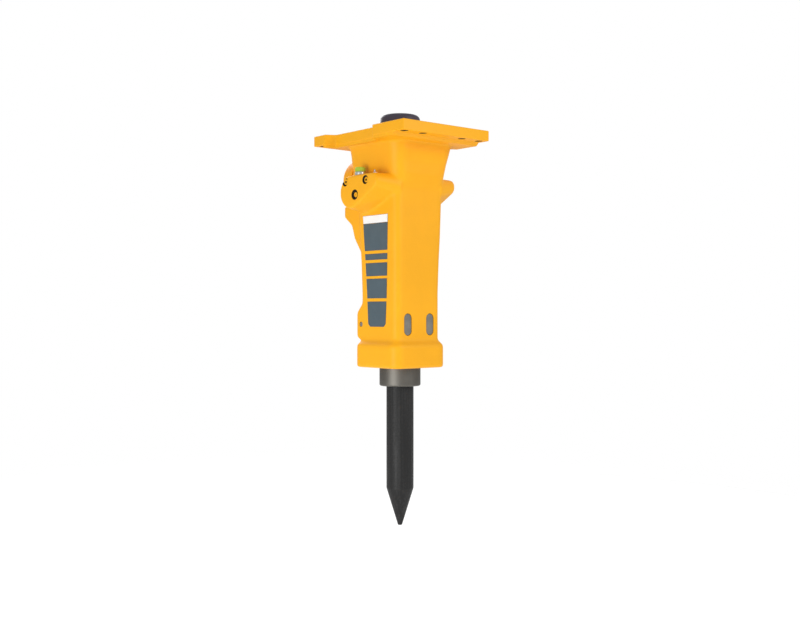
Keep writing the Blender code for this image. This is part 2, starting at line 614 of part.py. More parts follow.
def back_cuts(body):
    """Accumulator dish, valve bore and the bolt holes of both covers."""
    dish_floor = ACCUMULATOR_FACE_Y - DISH_DEEP
    cut(body, turned("dish_guide", [
        (0, GALLERY_START), (GALLERY_RADIUS, GALLERY_START), (GALLERY_RADIUS, dish_floor),
        (DISH_FLOOR_RADIUS, dish_floor), (ACCUMULATOR_DISH, ACCUMULATOR_FACE_Y - DISH_WALL_HIGH),
        (ACCUMULATOR_DISH, ACCUMULATOR_FACE_Y + OVER), (0, ACCUMULATOR_FACE_Y + OVER)],
        axis="+Y", at=(0, 0, ACCUMULATOR_Z)))
    for place in ACCUMULATOR_BOLT_PLACES:
        cut(body, rod("accumulator_bolt_hole_guide", BOLT_RADIUS + GAP, ACCUMULATOR_FACE_Y - BOLT_DEEP,
                      ACCUMULATOR_FACE_Y + OVER, axis="+Y", at=place, sides=SMALL_ROUND))
    sleeve_bore = VALVE_SLEEVE_RADIUS + FIT
    cut(body, turned("valve_bore_guide", [
        (0, GALLERY_START), (GALLERY_RADIUS, GALLERY_START), (GALLERY_RADIUS, VALVE_BORE_FRONT_Y),
        (sleeve_bore, VALVE_BORE_FRONT_Y), (sleeve_bore, VALVE_FACE_Y + OVER), (0, VALVE_FACE_Y + OVER)],
        axis="+Y", at=(0, 0, VALVE_Z)))
    for x in VALVE_BOLTS_X:
        cut(body, rod("valve_bolt_hole_guide", BOLT_RADIUS + GAP, VALVE_FACE_Y - BOLT_DEEP, VALVE_FACE_Y + OVER,
                      axis="+Y", at=(x, 0, VALVE_Z), sides=SMALL_ROUND))


def build_body():
    body = barrel_and_collar()
    join(body, flange_plate(), flange_web(), *[side_boss(side) for side in SIDES.values()], *back_housings())
    cut(body, main_bore())
    for y in (BOLT_HOLE_Y, -BOLT_HOLE_Y):
        for x in (-BOLT_HOLE_OUTER_X, -BOLT_HOLE_INNER_X, BOLT_HOLE_INNER_X, BOLT_HOLE_OUTER_X):
            cut(body, rod("flange_hole_guide", BOLT_HOLE_RADIUS, -FLANGE_THICK - OVER, OVER, at=(x, y, 0),
                          sides=SMALL_ROUND))
    retainer_cuts(body)
    boss_cuts(body)
    back_cuts(body)


# ---- backhead -------------------------------------------------------------------------------------------
def build_backhead():
    """Screwed-in head that closes the gas chamber over the piston, with its valve in a recess on top."""
    groove_low = SPIGOT_BOTTOM + O_RING_RISE
    groove_high = groove_low + O_RING_THICK + FIT
    groove_floor = SPIGOT_RADIUS - O_RING_THICK
    valve_bore = GAS_VALVE_RADIUS + GAP
    recess = BACKHEAD_TOP - BACKHEAD_RECESS
    turns = [math.pi / 2 * step / ARC for step in range(ARC + 1)]
    edge_radius, edge_height = BACKHEAD_RADIUS - BACKHEAD_EDGE, BACKHEAD_TOP - BACKHEAD_EDGE
    edge = [(edge_radius + BACKHEAD_EDGE * math.cos(turn), edge_height + BACKHEAD_EDGE * math.sin(turn))
            for turn in turns]
    turned("backhead", [
        (SPIGOT_RADIUS, SPIGOT_BOTTOM), (SPIGOT_RADIUS, groove_low), (groove_floor, groove_low),
        (groove_floor, groove_high), (SPIGOT_RADIUS, groove_high), (SPIGOT_RADIUS, BACKHEAD_SEAT),
        (BACKHEAD_RADIUS, BACKHEAD_SEAT), *edge, (BACKHEAD_RECESS_MOUTH, BACKHEAD_TOP),
        (BACKHEAD_RECESS_FLOOR, recess), (valve_bore, recess), (valve_bore, GAS_CHAMBER_TOP),
        (GAS_CHAMBER_RADIUS - GAS_CHAMBER_EDGE, GAS_CHAMBER_TOP),
        (GAS_CHAMBER_RADIUS, GAS_CHAMBER_TOP - GAS_CHAMBER_EDGE), (GAS_CHAMBER_RADIUS, SPIGOT_BOTTOM)], DARK_PAINT)
    ring("backhead_o_ring", SPIGOT_RADIUS + GAP / 2, groove_floor + GAP, groove_low + FIT / 2,
         groove_high - FIT / 2, BLACK_RUBBER)
    low, seat = GAS_CHAMBER_TOP + RUN, recess + GAP
    head_top = recess + GAS_VALVE_HEAD_HIGH
    turned("gas_valve", [
        (0, low), (GAS_VALVE_RADIUS, low), (GAS_VALVE_RADIUS, seat), (GAS_VALVE_HEAD_RADIUS, seat),
        (GAS_VALVE_HEAD_RADIUS, head_top), (GAS_VALVE_STEM_RADIUS, head_top),
        (GAS_VALVE_STEM_RADIUS, recess + GAS_VALVE_HIGH), (0, recess + GAS_VALVE_HIGH)],
        BRIGHT_STEEL, sides=SMALL_ROUND)


# ---- percussion -----------------------------------------------------------------------------------------
def seal_groove(radius, low):
    """Section points of a groove that opens inward, going down a bore."""
    deep = radius + SEAL_WALL
    return [(radius, low + SEAL_HIGH + FIT), (deep, low + SEAL_HIGH + FIT), (deep, low), (radius, low)]


def piston_seal(name, radius, low):
    ring(name, radius + SEAL_WALL - GAP, radius - RUN / 2, low + FIT / 2, low + SEAL_HIGH + FIT / 2, BLACK_RUBBER)


def build_percussion():
    upper_bore = PISTON_UPPER_RADIUS + RUN
    guide_bore = PISTON_STEM_RADIUS + RUN
    land_bore = PISTON_LAND_RADIUS + RUN
    carrier_top = SPIGOT_BOTTOM - 2 * GAP
    gas_low = carrier_top - GAS_SEAL_DROP
    oil_low = LINER_TOP + UPPER_SEAL_RISE
    turned("seal_carrier", [
        (LINER_RADIUS, LINER_TOP + GAP), (LINER_RADIUS, carrier_top), (upper_bore, carrier_top),
        *seal_groove(upper_bore, gas_low), *seal_groove(upper_bore, oil_low),
        (upper_bore, LINER_TOP + GAP)], BRIGHT_STEEL)
    piston_seal("gas_seal", upper_bore, gas_low)
    piston_seal("upper_oil_seal", upper_bore, oil_low)
    guide_top = LINER_BOTTOM + LINER_GUIDE_HIGH
    lower_low = LINER_BOTTOM + LOWER_SEAL_RISE
    turned("cylinder_liner", [
        (LINER_RADIUS, LINER_BOTTOM), (LINER_RADIUS, LINER_TOP), (land_bore, LINER_TOP), (land_bore, guide_top),
        (guide_bore, guide_top), *seal_groove(guide_bore, lower_low), (guide_bore, LINER_BOTTOM)], BRIGHT_STEEL)
    piston_seal("lower_oil_seal", guide_bore, lower_low)
    groove_top = (LAND_TOP + LAND_BOTTOM) / 2 + LAND_GROOVE_HIGH / 2
    groove_floor = PISTON_LAND_RADIUS - LAND_GROOVE_DEEP
    turned("piston", [
        (0, PISTON_BOTTOM), (PISTON_STEM_RADIUS - PISTON_EDGE, PISTON_BOTTOM),
        (PISTON_STEM_RADIUS, PISTON_BOTTOM + PISTON_EDGE), (PISTON_STEM_RADIUS, LAND_BOTTOM),
        (PISTON_LAND_RADIUS, LAND_BOTTOM),
        (PISTON_LAND_RADIUS, groove_top - LAND_GROOVE_HIGH), (groove_floor, groove_top - LAND_GROOVE_HIGH),
        (groove_floor, groove_top), (PISTON_LAND_RADIUS, groove_top), (PISTON_LAND_RADIUS, LAND_TOP),
        (PISTON_UPPER_RADIUS, LAND_TOP), (PISTON_UPPER_RADIUS, PISTON_TOP), (0, PISTON_TOP)], BRIGHT_STEEL)


# ---- tool, bushes and retainer bars -----------------------------------------------------------------------
def build_tool():
    tool = turned("tool", [
        (0, TOOL_TIP), (TOOL_TIP_RADIUS - TOOL_TIP_EDGE, TOOL_TIP), (TOOL_TIP_RADIUS, TOOL_TIP + TOOL_TIP_EDGE),
        (TOOL_RADIUS, TOOL_TAPER), (TOOL_RADIUS, TOOL_SHOULDER - TOOL_EDGE), (TOOL_NECK_RADIUS, TOOL_SHOULDER),
        (TOOL_NECK_RADIUS, TOOL_TOP - TOOL_EDGE), (TOOL_NECK_RADIUS - TOOL_EDGE, TOOL_TOP), (0, TOOL_TOP)],
        TOOL_STEEL)
    notch_top = BAR_TOP + GAP
    notch_bottom = BAR_BOTTOM - TOOL_TRAVEL - GAP
    for side in SIDES.values():
        cut(tool, prism("tool_flat_guide", rectangle(TOOL_FLAT_DEEP, TOOL_RADIUS, 0,
                                                     (side * (TOOL_FLAT_X + TOOL_FLAT_DEEP), 0)),
                        notch_bottom, notch_top))


def build_bushes():
    guide = TOOL_RADIUS + TOOL_CLEARANCE
    seat = UPPER_BORE_RADIUS - FIT
    ring("thrust_ring", seat, TOOL_NECK_RADIUS + TOOL_CLEARANCE, THRUST_RING_BOTTOM, THRUST_RING_TOP, BRIGHT_STEEL)
    ring("upper_bush", seat, guide, UPPER_BUSH_BOTTOM, THRUST_RING_BOTTOM - GAP, BUSH_STEEL)
    groove_half = BUSH_PIN_RADIUS + RUN
    groove_floor = BUSH_PIN_X - BUSH_PIN_RADIUS - RUN
    edge = LOWER_BUSH_EDGE
    seal_low = DUST_SEAL_Z - DUST_SEAL_HIGH / 2
    seal_high = DUST_SEAL_Z + DUST_SEAL_HIGH / 2
    turned("lower_bush", [
        (LOWER_BUSH_RADIUS - edge, LOWER_BUSH_BOTTOM), (LOWER_BUSH_RADIUS, LOWER_BUSH_BOTTOM + edge),
        (LOWER_BUSH_RADIUS, BUSH_PIN_Z - groove_half), (groove_floor, BUSH_PIN_Z - groove_half),
        (groove_floor, BUSH_PIN_Z + groove_half), (LOWER_BUSH_RADIUS, BUSH_PIN_Z + groove_half),
        (LOWER_BUSH_RADIUS, LOWER_BUSH_TOP), (guide, LOWER_BUSH_TOP), (guide, seal_high),
        (guide + DUST_SEAL_WALL, seal_high), (guide + DUST_SEAL_WALL, seal_low), (guide, seal_low),
        (guide, LOWER_BUSH_BOTTOM)], BUSH_STEEL)
    ring("dust_seal", guide + DUST_SEAL_WALL - GAP, guide - TOOL_CLEARANCE / 2, seal_low + GAP, seal_high - GAP,
         BLACK_RUBBER)


def build_retainers():
    """Bars that carry the tool, the pin that locks them, the pin that holds the lower bush, and the plugs."""
    plug_back = BARREL_HALF - BAR_PLUG_THICK
    hole = LOCK_PIN_RADIUS + FIT
    for label, side in SIDES.items():
        centre = (side * BAR_X, BAR_Z)
        bar = prism(f"retainer_bar_{label}", stadium(BAR_HALF_WIDE, BAR_HALF_HIGH, centre), -BAR_BACK_Y,
                    plug_back - GAP, BUSH_STEEL, axis="-Y")
        cut(bar, rod("bar_hole_guide", hole, -BARREL_HALF, BARREL_HALF, axis="+X", at=(0, LOCK_PIN_Y, BAR_Z),
                     sides=SMALL_ROUND))
        prism(f"retainer_plug_{label}", stadium(BAR_HALF_WIDE, BAR_HALF_HIGH, centre), plug_back,
              BARREL_HALF - RUBBER_SUNK, GREY_RUBBER, axis="-Y", edge=RUBBER_EDGE)
    place = (0, LOCK_PIN_Y, BAR_Z)
    lock_plug_back = BARREL_HALF - LOCK_PLUG_THICK
    rod("retainer_lock_pin", LOCK_PIN_RADIUS, -LOCK_PIN_END, lock_plug_back - GAP, BUSH_STEEL, axis="-X",
        at=place, sides=SMALL_ROUND)
    rod("lock_pin_plug", LOCK_PIN_RADIUS, lock_plug_back, BARREL_HALF - RUBBER_SUNK, GREY_RUBBER, axis="-X",
        at=place, sides=SMALL_ROUND)
    place = (BUSH_PIN_X, 0, BUSH_PIN_Z)
    rod("bush_pin", BUSH_PIN_RADIUS, BUSH_PIN_FRONT_Y, COLLAR_HALF - BAR_PLUG_THICK - GAP, BUSH_STEEL, axis="+Y",
        at=place, sides=SMALL_ROUND)
    rod("bush_pin_plug", BUSH_PIN_RADIUS, COLLAR_HALF - BAR_PLUG_THICK, COLLAR_HALF - RUBBER_SUNK, GREY_RUBBER,
        axis="+Y", at=place, sides=SMALL_ROUND)


# ---- side bosses' fittings --------------------------------------------------------------------------------
def hexagon(radius):
    return [(radius * math.cos(math.tau * turn / 6), radius * math.sin(math.tau * turn / 6)) for turn in range(6)]


def build_boss_fittings():
    for label, side in SIDES.items():
        outward = "+X" if side > 0 else "-X"
        for number, (y, z, radius) in enumerate(PLUG_PLACES, 1):
            face = BOSS_FACE_X - PLUG_SUNK
            plug = rod(f"gallery_plug_{label}_{number}", radius, BOSS_FACE_X - PLUG_DEEP + GAP, face, PAINT,
                       axis=outward, at=(0, y, z), sides=SMALL_ROUND)
            cut(plug, prism("hex_guide", hexagon(radius * PLUG_HEX_SHARE), face - PLUG_HEX_DEEP, face + OVER,
                            axis=outward, at=(0, y, z)))
        build_port((side * PORT_X, PORT_Y, BOSS_TOP), label)
    turned("grease_nipple", [
        (0, -NIPPLE_DEEP), (NIPPLE_RADIUS, -NIPPLE_DEEP), (NIPPLE_RADIUS, GAP), (NIPPLE_NUT_RADIUS, GAP),
        (NIPPLE_NUT_RADIUS, NIPPLE_NUT_HIGH), (NIPPLE_NECK_RADIUS, NIPPLE_NUT_HIGH + GAP),
        (NIPPLE_BALL_RADIUS, NIPPLE_HIGH - NIPPLE_NECK_RADIUS), (NIPPLE_NECK_RADIUS, NIPPLE_HIGH),
        (0, NIPPLE_HIGH)], BRIGHT_STEEL, at=(*NIPPLE_PLACE, BOSS_TOP), sides=SMALL_ROUND)


def build_port(place, label):
    """Washer, adapter and transport cap of one port, with heights above the boss."""
    shank, bore = PORT_RADIUS - FIT, PORT_RADIUS / 2
    base = PORT_WASHER_HIGH + 2 * GAP
    shoulder = base + PORT_HEAD_HIGH
    thread_top = shoulder + PORT_THREAD_HIGH
    ring(f"port_seal_{label}", PORT_SEAT_RADIUS, PORT_RADIUS, GAP, GAP + PORT_WASHER_HIGH, BRIGHT_STEEL, at=place,
         sides=SMALL_ROUND)
    turned(f"port_adapter_{label}", [
        (shank, -PORT_SHANK_DEEP), (shank, base), (PORT_SEAT_RADIUS, base), (PORT_SEAT_RADIUS, shoulder),
        (PORT_THREAD_RADIUS, shoulder), (PORT_THREAD_RADIUS, thread_top), (bore, thread_top),
        (bore, -PORT_SHANK_DEEP)], BRIGHT_STEEL, at=place, sides=SMALL_ROUND)
    low = shoulder + GAP
    roof = max(low + CAP_HIGH - CAP_ROOF, thread_top + RUN)
    top = roof + CAP_ROOF
    inner = PORT_THREAD_RADIUS + FIT
    turned(f"port_cap_{label}", [
        (CAP_RADIUS - CAP_EDGE, low), (CAP_RADIUS, low + CAP_EDGE), (CAP_RADIUS, top - CAP_EDGE),
        (CAP_RADIUS - CAP_EDGE, top), (0, top), (0, roof), (inner, roof), (inner, low)], LIME_PLASTIC, at=place,
        sides=SMALL_ROUND)


# ---- accumulator and control valve --------------------------------------------------------------------------
def cover_bolt(name, place, seat_y, length):
    """Socket-head bolt along Y whose head rests on seat_y."""
    bolt = turned(name, [
        (0, seat_y - length), (BOLT_RADIUS, seat_y - length), (BOLT_RADIUS, seat_y + GAP),
        (BOLT_HEAD_RADIUS, seat_y + GAP), (BOLT_HEAD_RADIUS, seat_y + BOLT_HEAD_HIGH),
        (0, seat_y + BOLT_HEAD_HIGH)], BLACK_STEEL, axis="+Y", at=place, sides=SMALL_ROUND)
    cut(bolt, prism("hex_guide", hexagon(BOLT_RADIUS * BOLT_HEX_SHARE), seat_y + BOLT_HEAD_HIGH * BOLT_HEX_FLOOR,
                    seat_y + BOLT_HEAD_HIGH + OVER, axis="+Y", at=place))


def build_accumulator():
    middle = (0, 0, ACCUMULATOR_Z)
    rim = ACCUMULATOR_DISH + DIAPHRAGM_RIM
    front, back = ACCUMULATOR_FACE_Y + GAP, ACCUMULATOR_BACK_Y
    film_back = front + DIAPHRAGM_THICK
    cover_front = film_back + GAP
    bolt_seat = back - BOLT_HEAD_HIGH - BOLT_SUNK
    cave_roof = back - CAVE_ROOF
    cover = turned("accumulator_cover", [
        (rim + FIT, cover_front), (rim + FIT, front), (ACCUMULATOR_RADIUS, front),
        (ACCUMULATOR_RADIUS, back - ACCUMULATOR_EDGE), (ACCUMULATOR_RADIUS - ACCUMULATOR_EDGE, back),
        (CHARGE_VALVE_RADIUS, back), (CHARGE_VALVE_RADIUS, cave_roof), (CAVE_RADIUS, cave_roof),
        (ACCUMULATOR_DISH, cover_front + CAVE_WALL_HIGH), (ACCUMULATOR_DISH, cover_front)],
        PAINT, axis="+Y", at=middle)
    bend = film_back + DIAPHRAGM_RISE
    crown = bend + DIAPHRAGM_CROWN
    bend_radius = ACCUMULATOR_DISH - DIAPHRAGM_BEND
    turned("diaphragm", [
        (rim, front), (rim, film_back), (bend_radius, film_back), (DIAPHRAGM_FLAT_RADIUS, bend), (0, crown),
        (0, crown - DIAPHRAGM_THICK), (DIAPHRAGM_FLAT_RADIUS - RUN, bend - DIAPHRAGM_THICK),
        (bend_radius - 2 * RUN, front)], BLACK_RUBBER, axis="+Y", at=middle)
    for number, place in enumerate(ACCUMULATOR_BOLT_PLACES, 1):
        cut(cover, turned("cover_hole_guide", [
            (0, ACCUMULATOR_FACE_Y - OVER), (BOLT_RADIUS + GAP, ACCUMULATOR_FACE_Y - OVER),
            (BOLT_RADIUS + GAP, bolt_seat), (BOLT_HEAD_RADIUS + FIT, bolt_seat),
            (BOLT_HEAD_RADIUS + FIT, back + OVER), (0, back + OVER)], axis="+Y", at=place, sides=SMALL_ROUND))
        cover_bolt(f"accumulator_bolt_{number}", place, bolt_seat,
                   bolt_seat - ACCUMULATOR_FACE_Y + BOLT_DEEP - BOLT_FREE)
    valve_front, head_back = back - CHARGE_VALVE_DEEP, back + CHARGE_VALVE_HEAD_HIGH
    turned("charge_valve", [
        (0, valve_front), (CHARGE_VALVE_RADIUS - GAP, valve_front), (CHARGE_VALVE_RADIUS - GAP, back + GAP),
        (CHARGE_VALVE_HEAD_RADIUS, back + GAP), (CHARGE_VALVE_HEAD_RADIUS, head_back),
        (CHARGE_VALVE_STEM_RADIUS, head_back), (CHARGE_VALVE_STEM_RADIUS, back + CHARGE_VALVE_HIGH),
        (0, back + CHARGE_VALVE_HIGH)], BRIGHT_STEEL, axis="+Y", at=middle, sides=SMALL_ROUND)


def build_control_valve():
    middle = (0, 0, VALVE_Z)
    sleeve_front = VALVE_BORE_FRONT_Y + GAP
    sleeve_back = VALVE_FACE_Y - VALVE_SEAL_HIGH
    spool_bore = VALVE_SPOOL_RADIUS + FIT
    ring("valve_sleeve", VALVE_SLEEVE_RADIUS, spool_bore, sleeve_front, sleeve_back, BRIGHT_STEEL, axis="+Y",
         at=middle)
    cover_front = VALVE_FACE_Y + GAP
    spool_back = cover_front - GAP - VALVE_TRAVEL
    waist = VALVE_SPOOL_RADIUS - VALVE_WAIST_DEEP
    fifth = (spool_back - sleeve_front) / 5
    bends = [sleeve_front + fifth * step for step in range(1, 5)]
    turned("valve_spool", [
        (0, sleeve_front), (VALVE_SPOOL_RADIUS, sleeve_front), (VALVE_SPOOL_RADIUS, bends[0]), (waist, bends[0]),
        (waist, bends[1]), (VALVE_SPOOL_RADIUS, bends[1]), (VALVE_SPOOL_RADIUS, bends[2]), (waist, bends[2]),
        (waist, bends[3]), (VALVE_SPOOL_RADIUS, bends[3]), (VALVE_SPOOL_RADIUS, spool_back), (0, spool_back)],
        BRIGHT_STEEL, axis="+Y", at=middle)
    cover_back = VALVE_FACE_Y + VALVE_COVER_THICK
    outline = rectangle(VALVE_COVER_HALF_X, VALVE_COVER_HALF_Z, VALVE_COVER_CORNER)
    cover = prism("valve_cover", outline, cover_front, cover_back, PAINT, axis="+Y", at=middle,
                  edge=VALVE_COVER_EDGE)
    ring("valve_cover_seal", VALVE_SLEEVE_RADIUS + FIT - GAP, VALVE_SPOOL_RADIUS + VALVE_SEAL_WALL,
         sleeve_back + GAP, VALVE_FACE_Y, BLACK_RUBBER, axis="+Y", at=middle)
    for number, x in enumerate(VALVE_BOLTS_X, 1):
        place = (x, 0, VALVE_Z)
        cut(cover, rod("valve_cover_hole_guide", BOLT_RADIUS + GAP, VALVE_FACE_Y - OVER, cover_back + OVER,
                       axis="+Y", at=place, sides=SMALL_ROUND))
        cover_bolt(f"valve_bolt_{number}", place, cover_back, VALVE_COVER_THICK + BOLT_DEEP - BOLT_FREE)


# ---- decals ---------------------------------------------------------------------------------------------
def decal_half(height):
    """Half width of the decal's tapering outline at a height."""
    share = (height - DECAL_BOTTOM) / (DECAL_TOP - DECAL_BOTTOM)
    return DECAL_BOTTOM_HALF + (DECAL_TOP_HALF - DECAL_BOTTOM_HALF) * share


def build_decals():
    """Thin film on each side face, which follows the barrel's taper."""
    bends = [height for height, *_ in BARREL_LEVELS if DECAL_BOTTOM + DECAL_CHAMFER < height < DECAL_TOP]
    heights = [DECAL_TOP, *bends, DECAL_BOTTOM + DECAL_CHAMFER, DECAL_BOTTOM]
    for label, side in SIDES.items():
        sections = []
        for height in heights:
            half = decal_half(height) - (DECAL_CHAMFER if height == DECAL_BOTTOM else 0)
            near = side * (barrel_half(height) + GAP)
            far = side * (barrel_half(height) + GAP + DECAL_THICK)
            sections.append([(near, DECAL_Y - half, height), (far, DECAL_Y - half, height),
                             (far, DECAL_Y + half, height), (near, DECAL_Y + half, height)])
        loft(f"decal_{label}", sections, DECAL_FILM)


def main():
    for old in list(bpy.data.objects):
        bpy.data.objects.remove(old)
    build_body()
    build_backhead()
    build_percussion()
    build_tool()
    build_bushes()
    build_retainers()
    build_boss_fittings()
    build_accumulator()
    build_control_valve()
    build_decals()


main()
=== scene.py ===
# %% [markdown]
# # A hydraulic breaker hammer
# This notebook dresses a breaker that is already built to size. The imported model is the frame: every
# piece below is made where the frame says, rides on one of its bodies and stands for the plain CAD
# solids that it covers. Inner pieces that are right as they are keep their CAD mesh and get a finish.

# %% Load the frame
import json
import math

import bmesh
import bpy
import numpy as np
from mathutils import Matrix, Vector

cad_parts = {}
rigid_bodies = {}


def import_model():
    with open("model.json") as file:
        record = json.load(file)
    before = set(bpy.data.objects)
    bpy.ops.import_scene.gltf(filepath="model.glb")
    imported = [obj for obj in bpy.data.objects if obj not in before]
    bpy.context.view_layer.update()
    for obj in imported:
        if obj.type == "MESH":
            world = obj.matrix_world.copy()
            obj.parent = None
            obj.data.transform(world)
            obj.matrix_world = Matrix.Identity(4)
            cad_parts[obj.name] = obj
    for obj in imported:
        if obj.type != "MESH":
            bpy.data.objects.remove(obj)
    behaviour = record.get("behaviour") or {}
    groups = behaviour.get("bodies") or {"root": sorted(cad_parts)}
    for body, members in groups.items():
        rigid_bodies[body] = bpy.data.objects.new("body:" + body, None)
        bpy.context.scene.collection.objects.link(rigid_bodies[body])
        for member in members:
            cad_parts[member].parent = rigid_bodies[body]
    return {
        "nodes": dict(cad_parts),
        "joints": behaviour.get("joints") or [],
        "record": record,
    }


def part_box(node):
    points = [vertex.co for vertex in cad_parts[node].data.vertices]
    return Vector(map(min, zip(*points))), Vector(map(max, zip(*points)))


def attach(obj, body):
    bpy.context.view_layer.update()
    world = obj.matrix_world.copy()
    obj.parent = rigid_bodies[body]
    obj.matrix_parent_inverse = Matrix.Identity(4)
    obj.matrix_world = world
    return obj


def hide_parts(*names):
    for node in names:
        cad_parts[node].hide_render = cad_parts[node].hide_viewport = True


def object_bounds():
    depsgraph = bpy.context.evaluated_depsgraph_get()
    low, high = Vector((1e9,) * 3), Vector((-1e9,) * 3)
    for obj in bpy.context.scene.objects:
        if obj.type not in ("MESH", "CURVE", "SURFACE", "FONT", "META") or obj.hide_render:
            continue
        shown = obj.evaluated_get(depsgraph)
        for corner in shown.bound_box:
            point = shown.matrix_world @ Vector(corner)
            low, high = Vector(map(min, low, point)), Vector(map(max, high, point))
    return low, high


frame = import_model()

nodes = frame["nodes"]
cad_bounds = [list(map(float, corner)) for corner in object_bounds()]
body_of_node = {node: body for body, held in frame["record"]["behaviour"]["bodies"].items() for node in held}

# %% [markdown]
# ## Shader maths
# A material is a small calculation: noise in, colour and roughness out. Adding Math nodes by hand hides
# that, so one class wraps a socket and lets plain Python operators add the nodes. Numbers that are the
# same everywhere never become nodes; they are set on the shader's own sockets.

# %% A socket that can be calculated with
class Wire:
    """One output socket. Operators on it add Math nodes."""

    def __init__(self, surface, socket):
        self.surface, self.socket = surface, socket

    def math(self, operation, first, second=0.0):
        return self.surface.node("ShaderNodeMath", {"operation": operation}, {0: first, 1: second})

    def __add__(self, other):
        return self.math("ADD", self, other)

    def __sub__(self, other):
        return self.math("SUBTRACT", self, other)

    def __rsub__(self, other):
        return self.math("SUBTRACT", other, self)

    def __mul__(self, other):
        return self.math("MULTIPLY", self, other)

    __radd__, __rmul__ = __add__, __mul__

    def sharpen(self, low, high):
        """0 below low and 1 above high, smooth between."""
        settings = {"interpolation_type": "SMOOTHSTEP"}
        span = {"Value": self, "From Min": low, "From Max": high}
        return self.surface.node("ShaderNodeMapRange", settings, span)


class Surface:
    """A material under construction: its tree, its Principled shader and the ways to feed it."""

    def __init__(self, name, colour, rough, metal=0.0, coat=0.0, shine=0.5):
        self.material = bpy.data.materials.new(name)
        self.material.use_nodes = True
        self.tree = self.material.node_tree
        self.shader = self.tree.nodes["Principled BSDF"]
        self.feed("Base Color", (*colour, 1.0))
        self.feed("Roughness", rough)
        self.feed("Metallic", metal)
        self.feed("Coat Weight", coat)
        self.feed("Specular IOR Level", shine)
        self.place = self.node("ShaderNodeTexCoord", output="Object")

    def node(self, kind, settings=None, inputs=None, output=0):
        """Adds a node: settings first, then the values or wires of its sockets."""
        made = self.tree.nodes.new(kind)
        for key, value in (settings or {}).items():
            setattr(made, key, value)
        for key, value in (inputs or {}).items():
            if isinstance(value, Wire):
                self.tree.links.new(value.socket, made.inputs[key])
            else:
                made.inputs[key].default_value = value
        return Wire(self, made.outputs[output])

    def feed(self, socket, value):
        if isinstance(value, Wire):
            self.tree.links.new(value.socket, self.shader.inputs[socket])
        else:
            self.shader.inputs[socket].default_value = value

    def noise(self, scale, detail=2.0, stretch=(1, 1, 1)):
        """Noise whose grain size is about 1 / scale metres, longer along an axis with a small stretch."""
        spread = self.node("ShaderNodeMapping", inputs={"Vector": self.place, "Scale": stretch})
        return self.node("ShaderNodeTexNoise", inputs={"Vector": spread, "Scale": scale, "Detail": detail})

    def mix(self, share, first, second):
        """Colour that goes from first to second with share."""
        settings = {"data_type": "RGBA", "blend_type": "MIX"}
        colours = {0: share, 6: (*first, 1.0) if isinstance(first, tuple) else first,
                   7: (*second, 1.0) if isinstance(second, tuple) else second}
        return self.node("ShaderNodeMix", settings, colours, output=2)

    def bump(self, height, distance, strength=1.0):
        inputs = {"Height": height, "Distance": distance, "Strength": strength}
        self.feed("Normal", self.node("ShaderNodeBump", inputs=inputs))


# %% [markdown]
# ## Finishes
# The casting wears thick satin enamel, sprayed over sand-cast iron: the colour drifts a little from
# panel to panel, the gloss varies, and fine orange peel lies on a faint cast grain. Turned steel keeps
# the marks of the lathe, which run round the Z axis, while the forged tool is black from oil and heat.
# The grain sizes are real ones: peel about 2 mm, cast grain about 8 mm, lathe marks under a millimetre.

# %% Paints
def shade(colour, share):
    return tuple(channel * share for channel in colour)


def enamel(name, colour, rough=0.48, grain_depth=0.00035):
    surface = Surface(name, colour, rough, coat=0.02, shine=0.20)
    drift = surface.noise(2.6, 3.0)
    dusting = surface.noise(14.0, 5.0)
    peel = surface.noise(430.0, 1.0)
    cast_grain = surface.noise(120.0, 4.0)
    tone = (drift * 0.6 + dusting * 0.4).sharpen(0.34, 0.66)
    surface.feed("Base Color", surface.mix(tone, shade(colour, 0.955), shade(colour, 1.02)))
    surface.feed("Roughness", rough - 0.05 + dusting * 0.10)
    surface.bump(cast_grain * 0.8 + peel * 0.25, grain_depth, 0.55)
    surface.shader.inputs["Coat Roughness"].default_value = 0.25
    return surface.material


YELLOW = enamel("yellow_enamel", (0.92, 0.420, 0.010))
HEAD_GREY = enamel("backhead_enamel", (0.062, 0.053, 0.075), 0.45, 0.00025)

# %% Steels
def turned_steel(name, colour, rough, marks=1500.0, depth=0.00004):
    """Steel off the lathe: rings across the Z axis, a little darker where the oil film stays."""
    surface = Surface(name, colour, rough, metal=1.0)
    rings = surface.noise(marks, 1.0, (0.02, 0.02, 1.0))
    film = surface.noise(9.0, 4.0)
    surface.feed("Base Color", surface.mix(film.sharpen(0.35, 0.70), shade(colour, 0.80), shade(colour, 1.08)))
    surface.feed("Roughness", rough - 0.06 + rings * 0.12 + film * 0.05)
    surface.bump(rings, depth, 0.6)
    return surface.material


def forged_black(name, colour, rough):
    """Black tool steel: fine scale, with faint lengthwise streaks from grinding and handling."""
    surface = Surface(name, colour, rough, metal=0.30, shine=0.30)
    scale_grain = surface.noise(260.0, 4.0)
    streaks = surface.noise(130.0, 3.0, (1.0, 1.0, 0.03))
    worn = (scale_grain * 0.5 + streaks * 0.5).sharpen(0.44, 0.66)
    surface.feed("Base Color", surface.mix(worn, shade(colour, 0.85), shade(colour, 1.45)))
    surface.feed("Roughness", rough + 0.08 - worn * 0.14)
    surface.bump(scale_grain * 0.7 + streaks * 0.3, 0.00012, 0.5)
    return surface.material


TOOL_BLACK = forged_black("tool_black", (0.020, 0.020, 0.020), 0.50)
SCREW_BLACK = forged_black("screw_black", (0.045, 0.045, 0.047), 0.40)
BUSH_STEEL = turned_steel("bush_steel", (0.150, 0.143, 0.128), 0.46)
GROUND_STEEL = turned_steel("ground_steel", (0.62, 0.62, 0.61), 0.26, 2200.0, 0.00002)
ZINC = turned_steel("zinc_plate", (0.72, 0.73, 0.72), 0.30, 900.0, 0.00002)

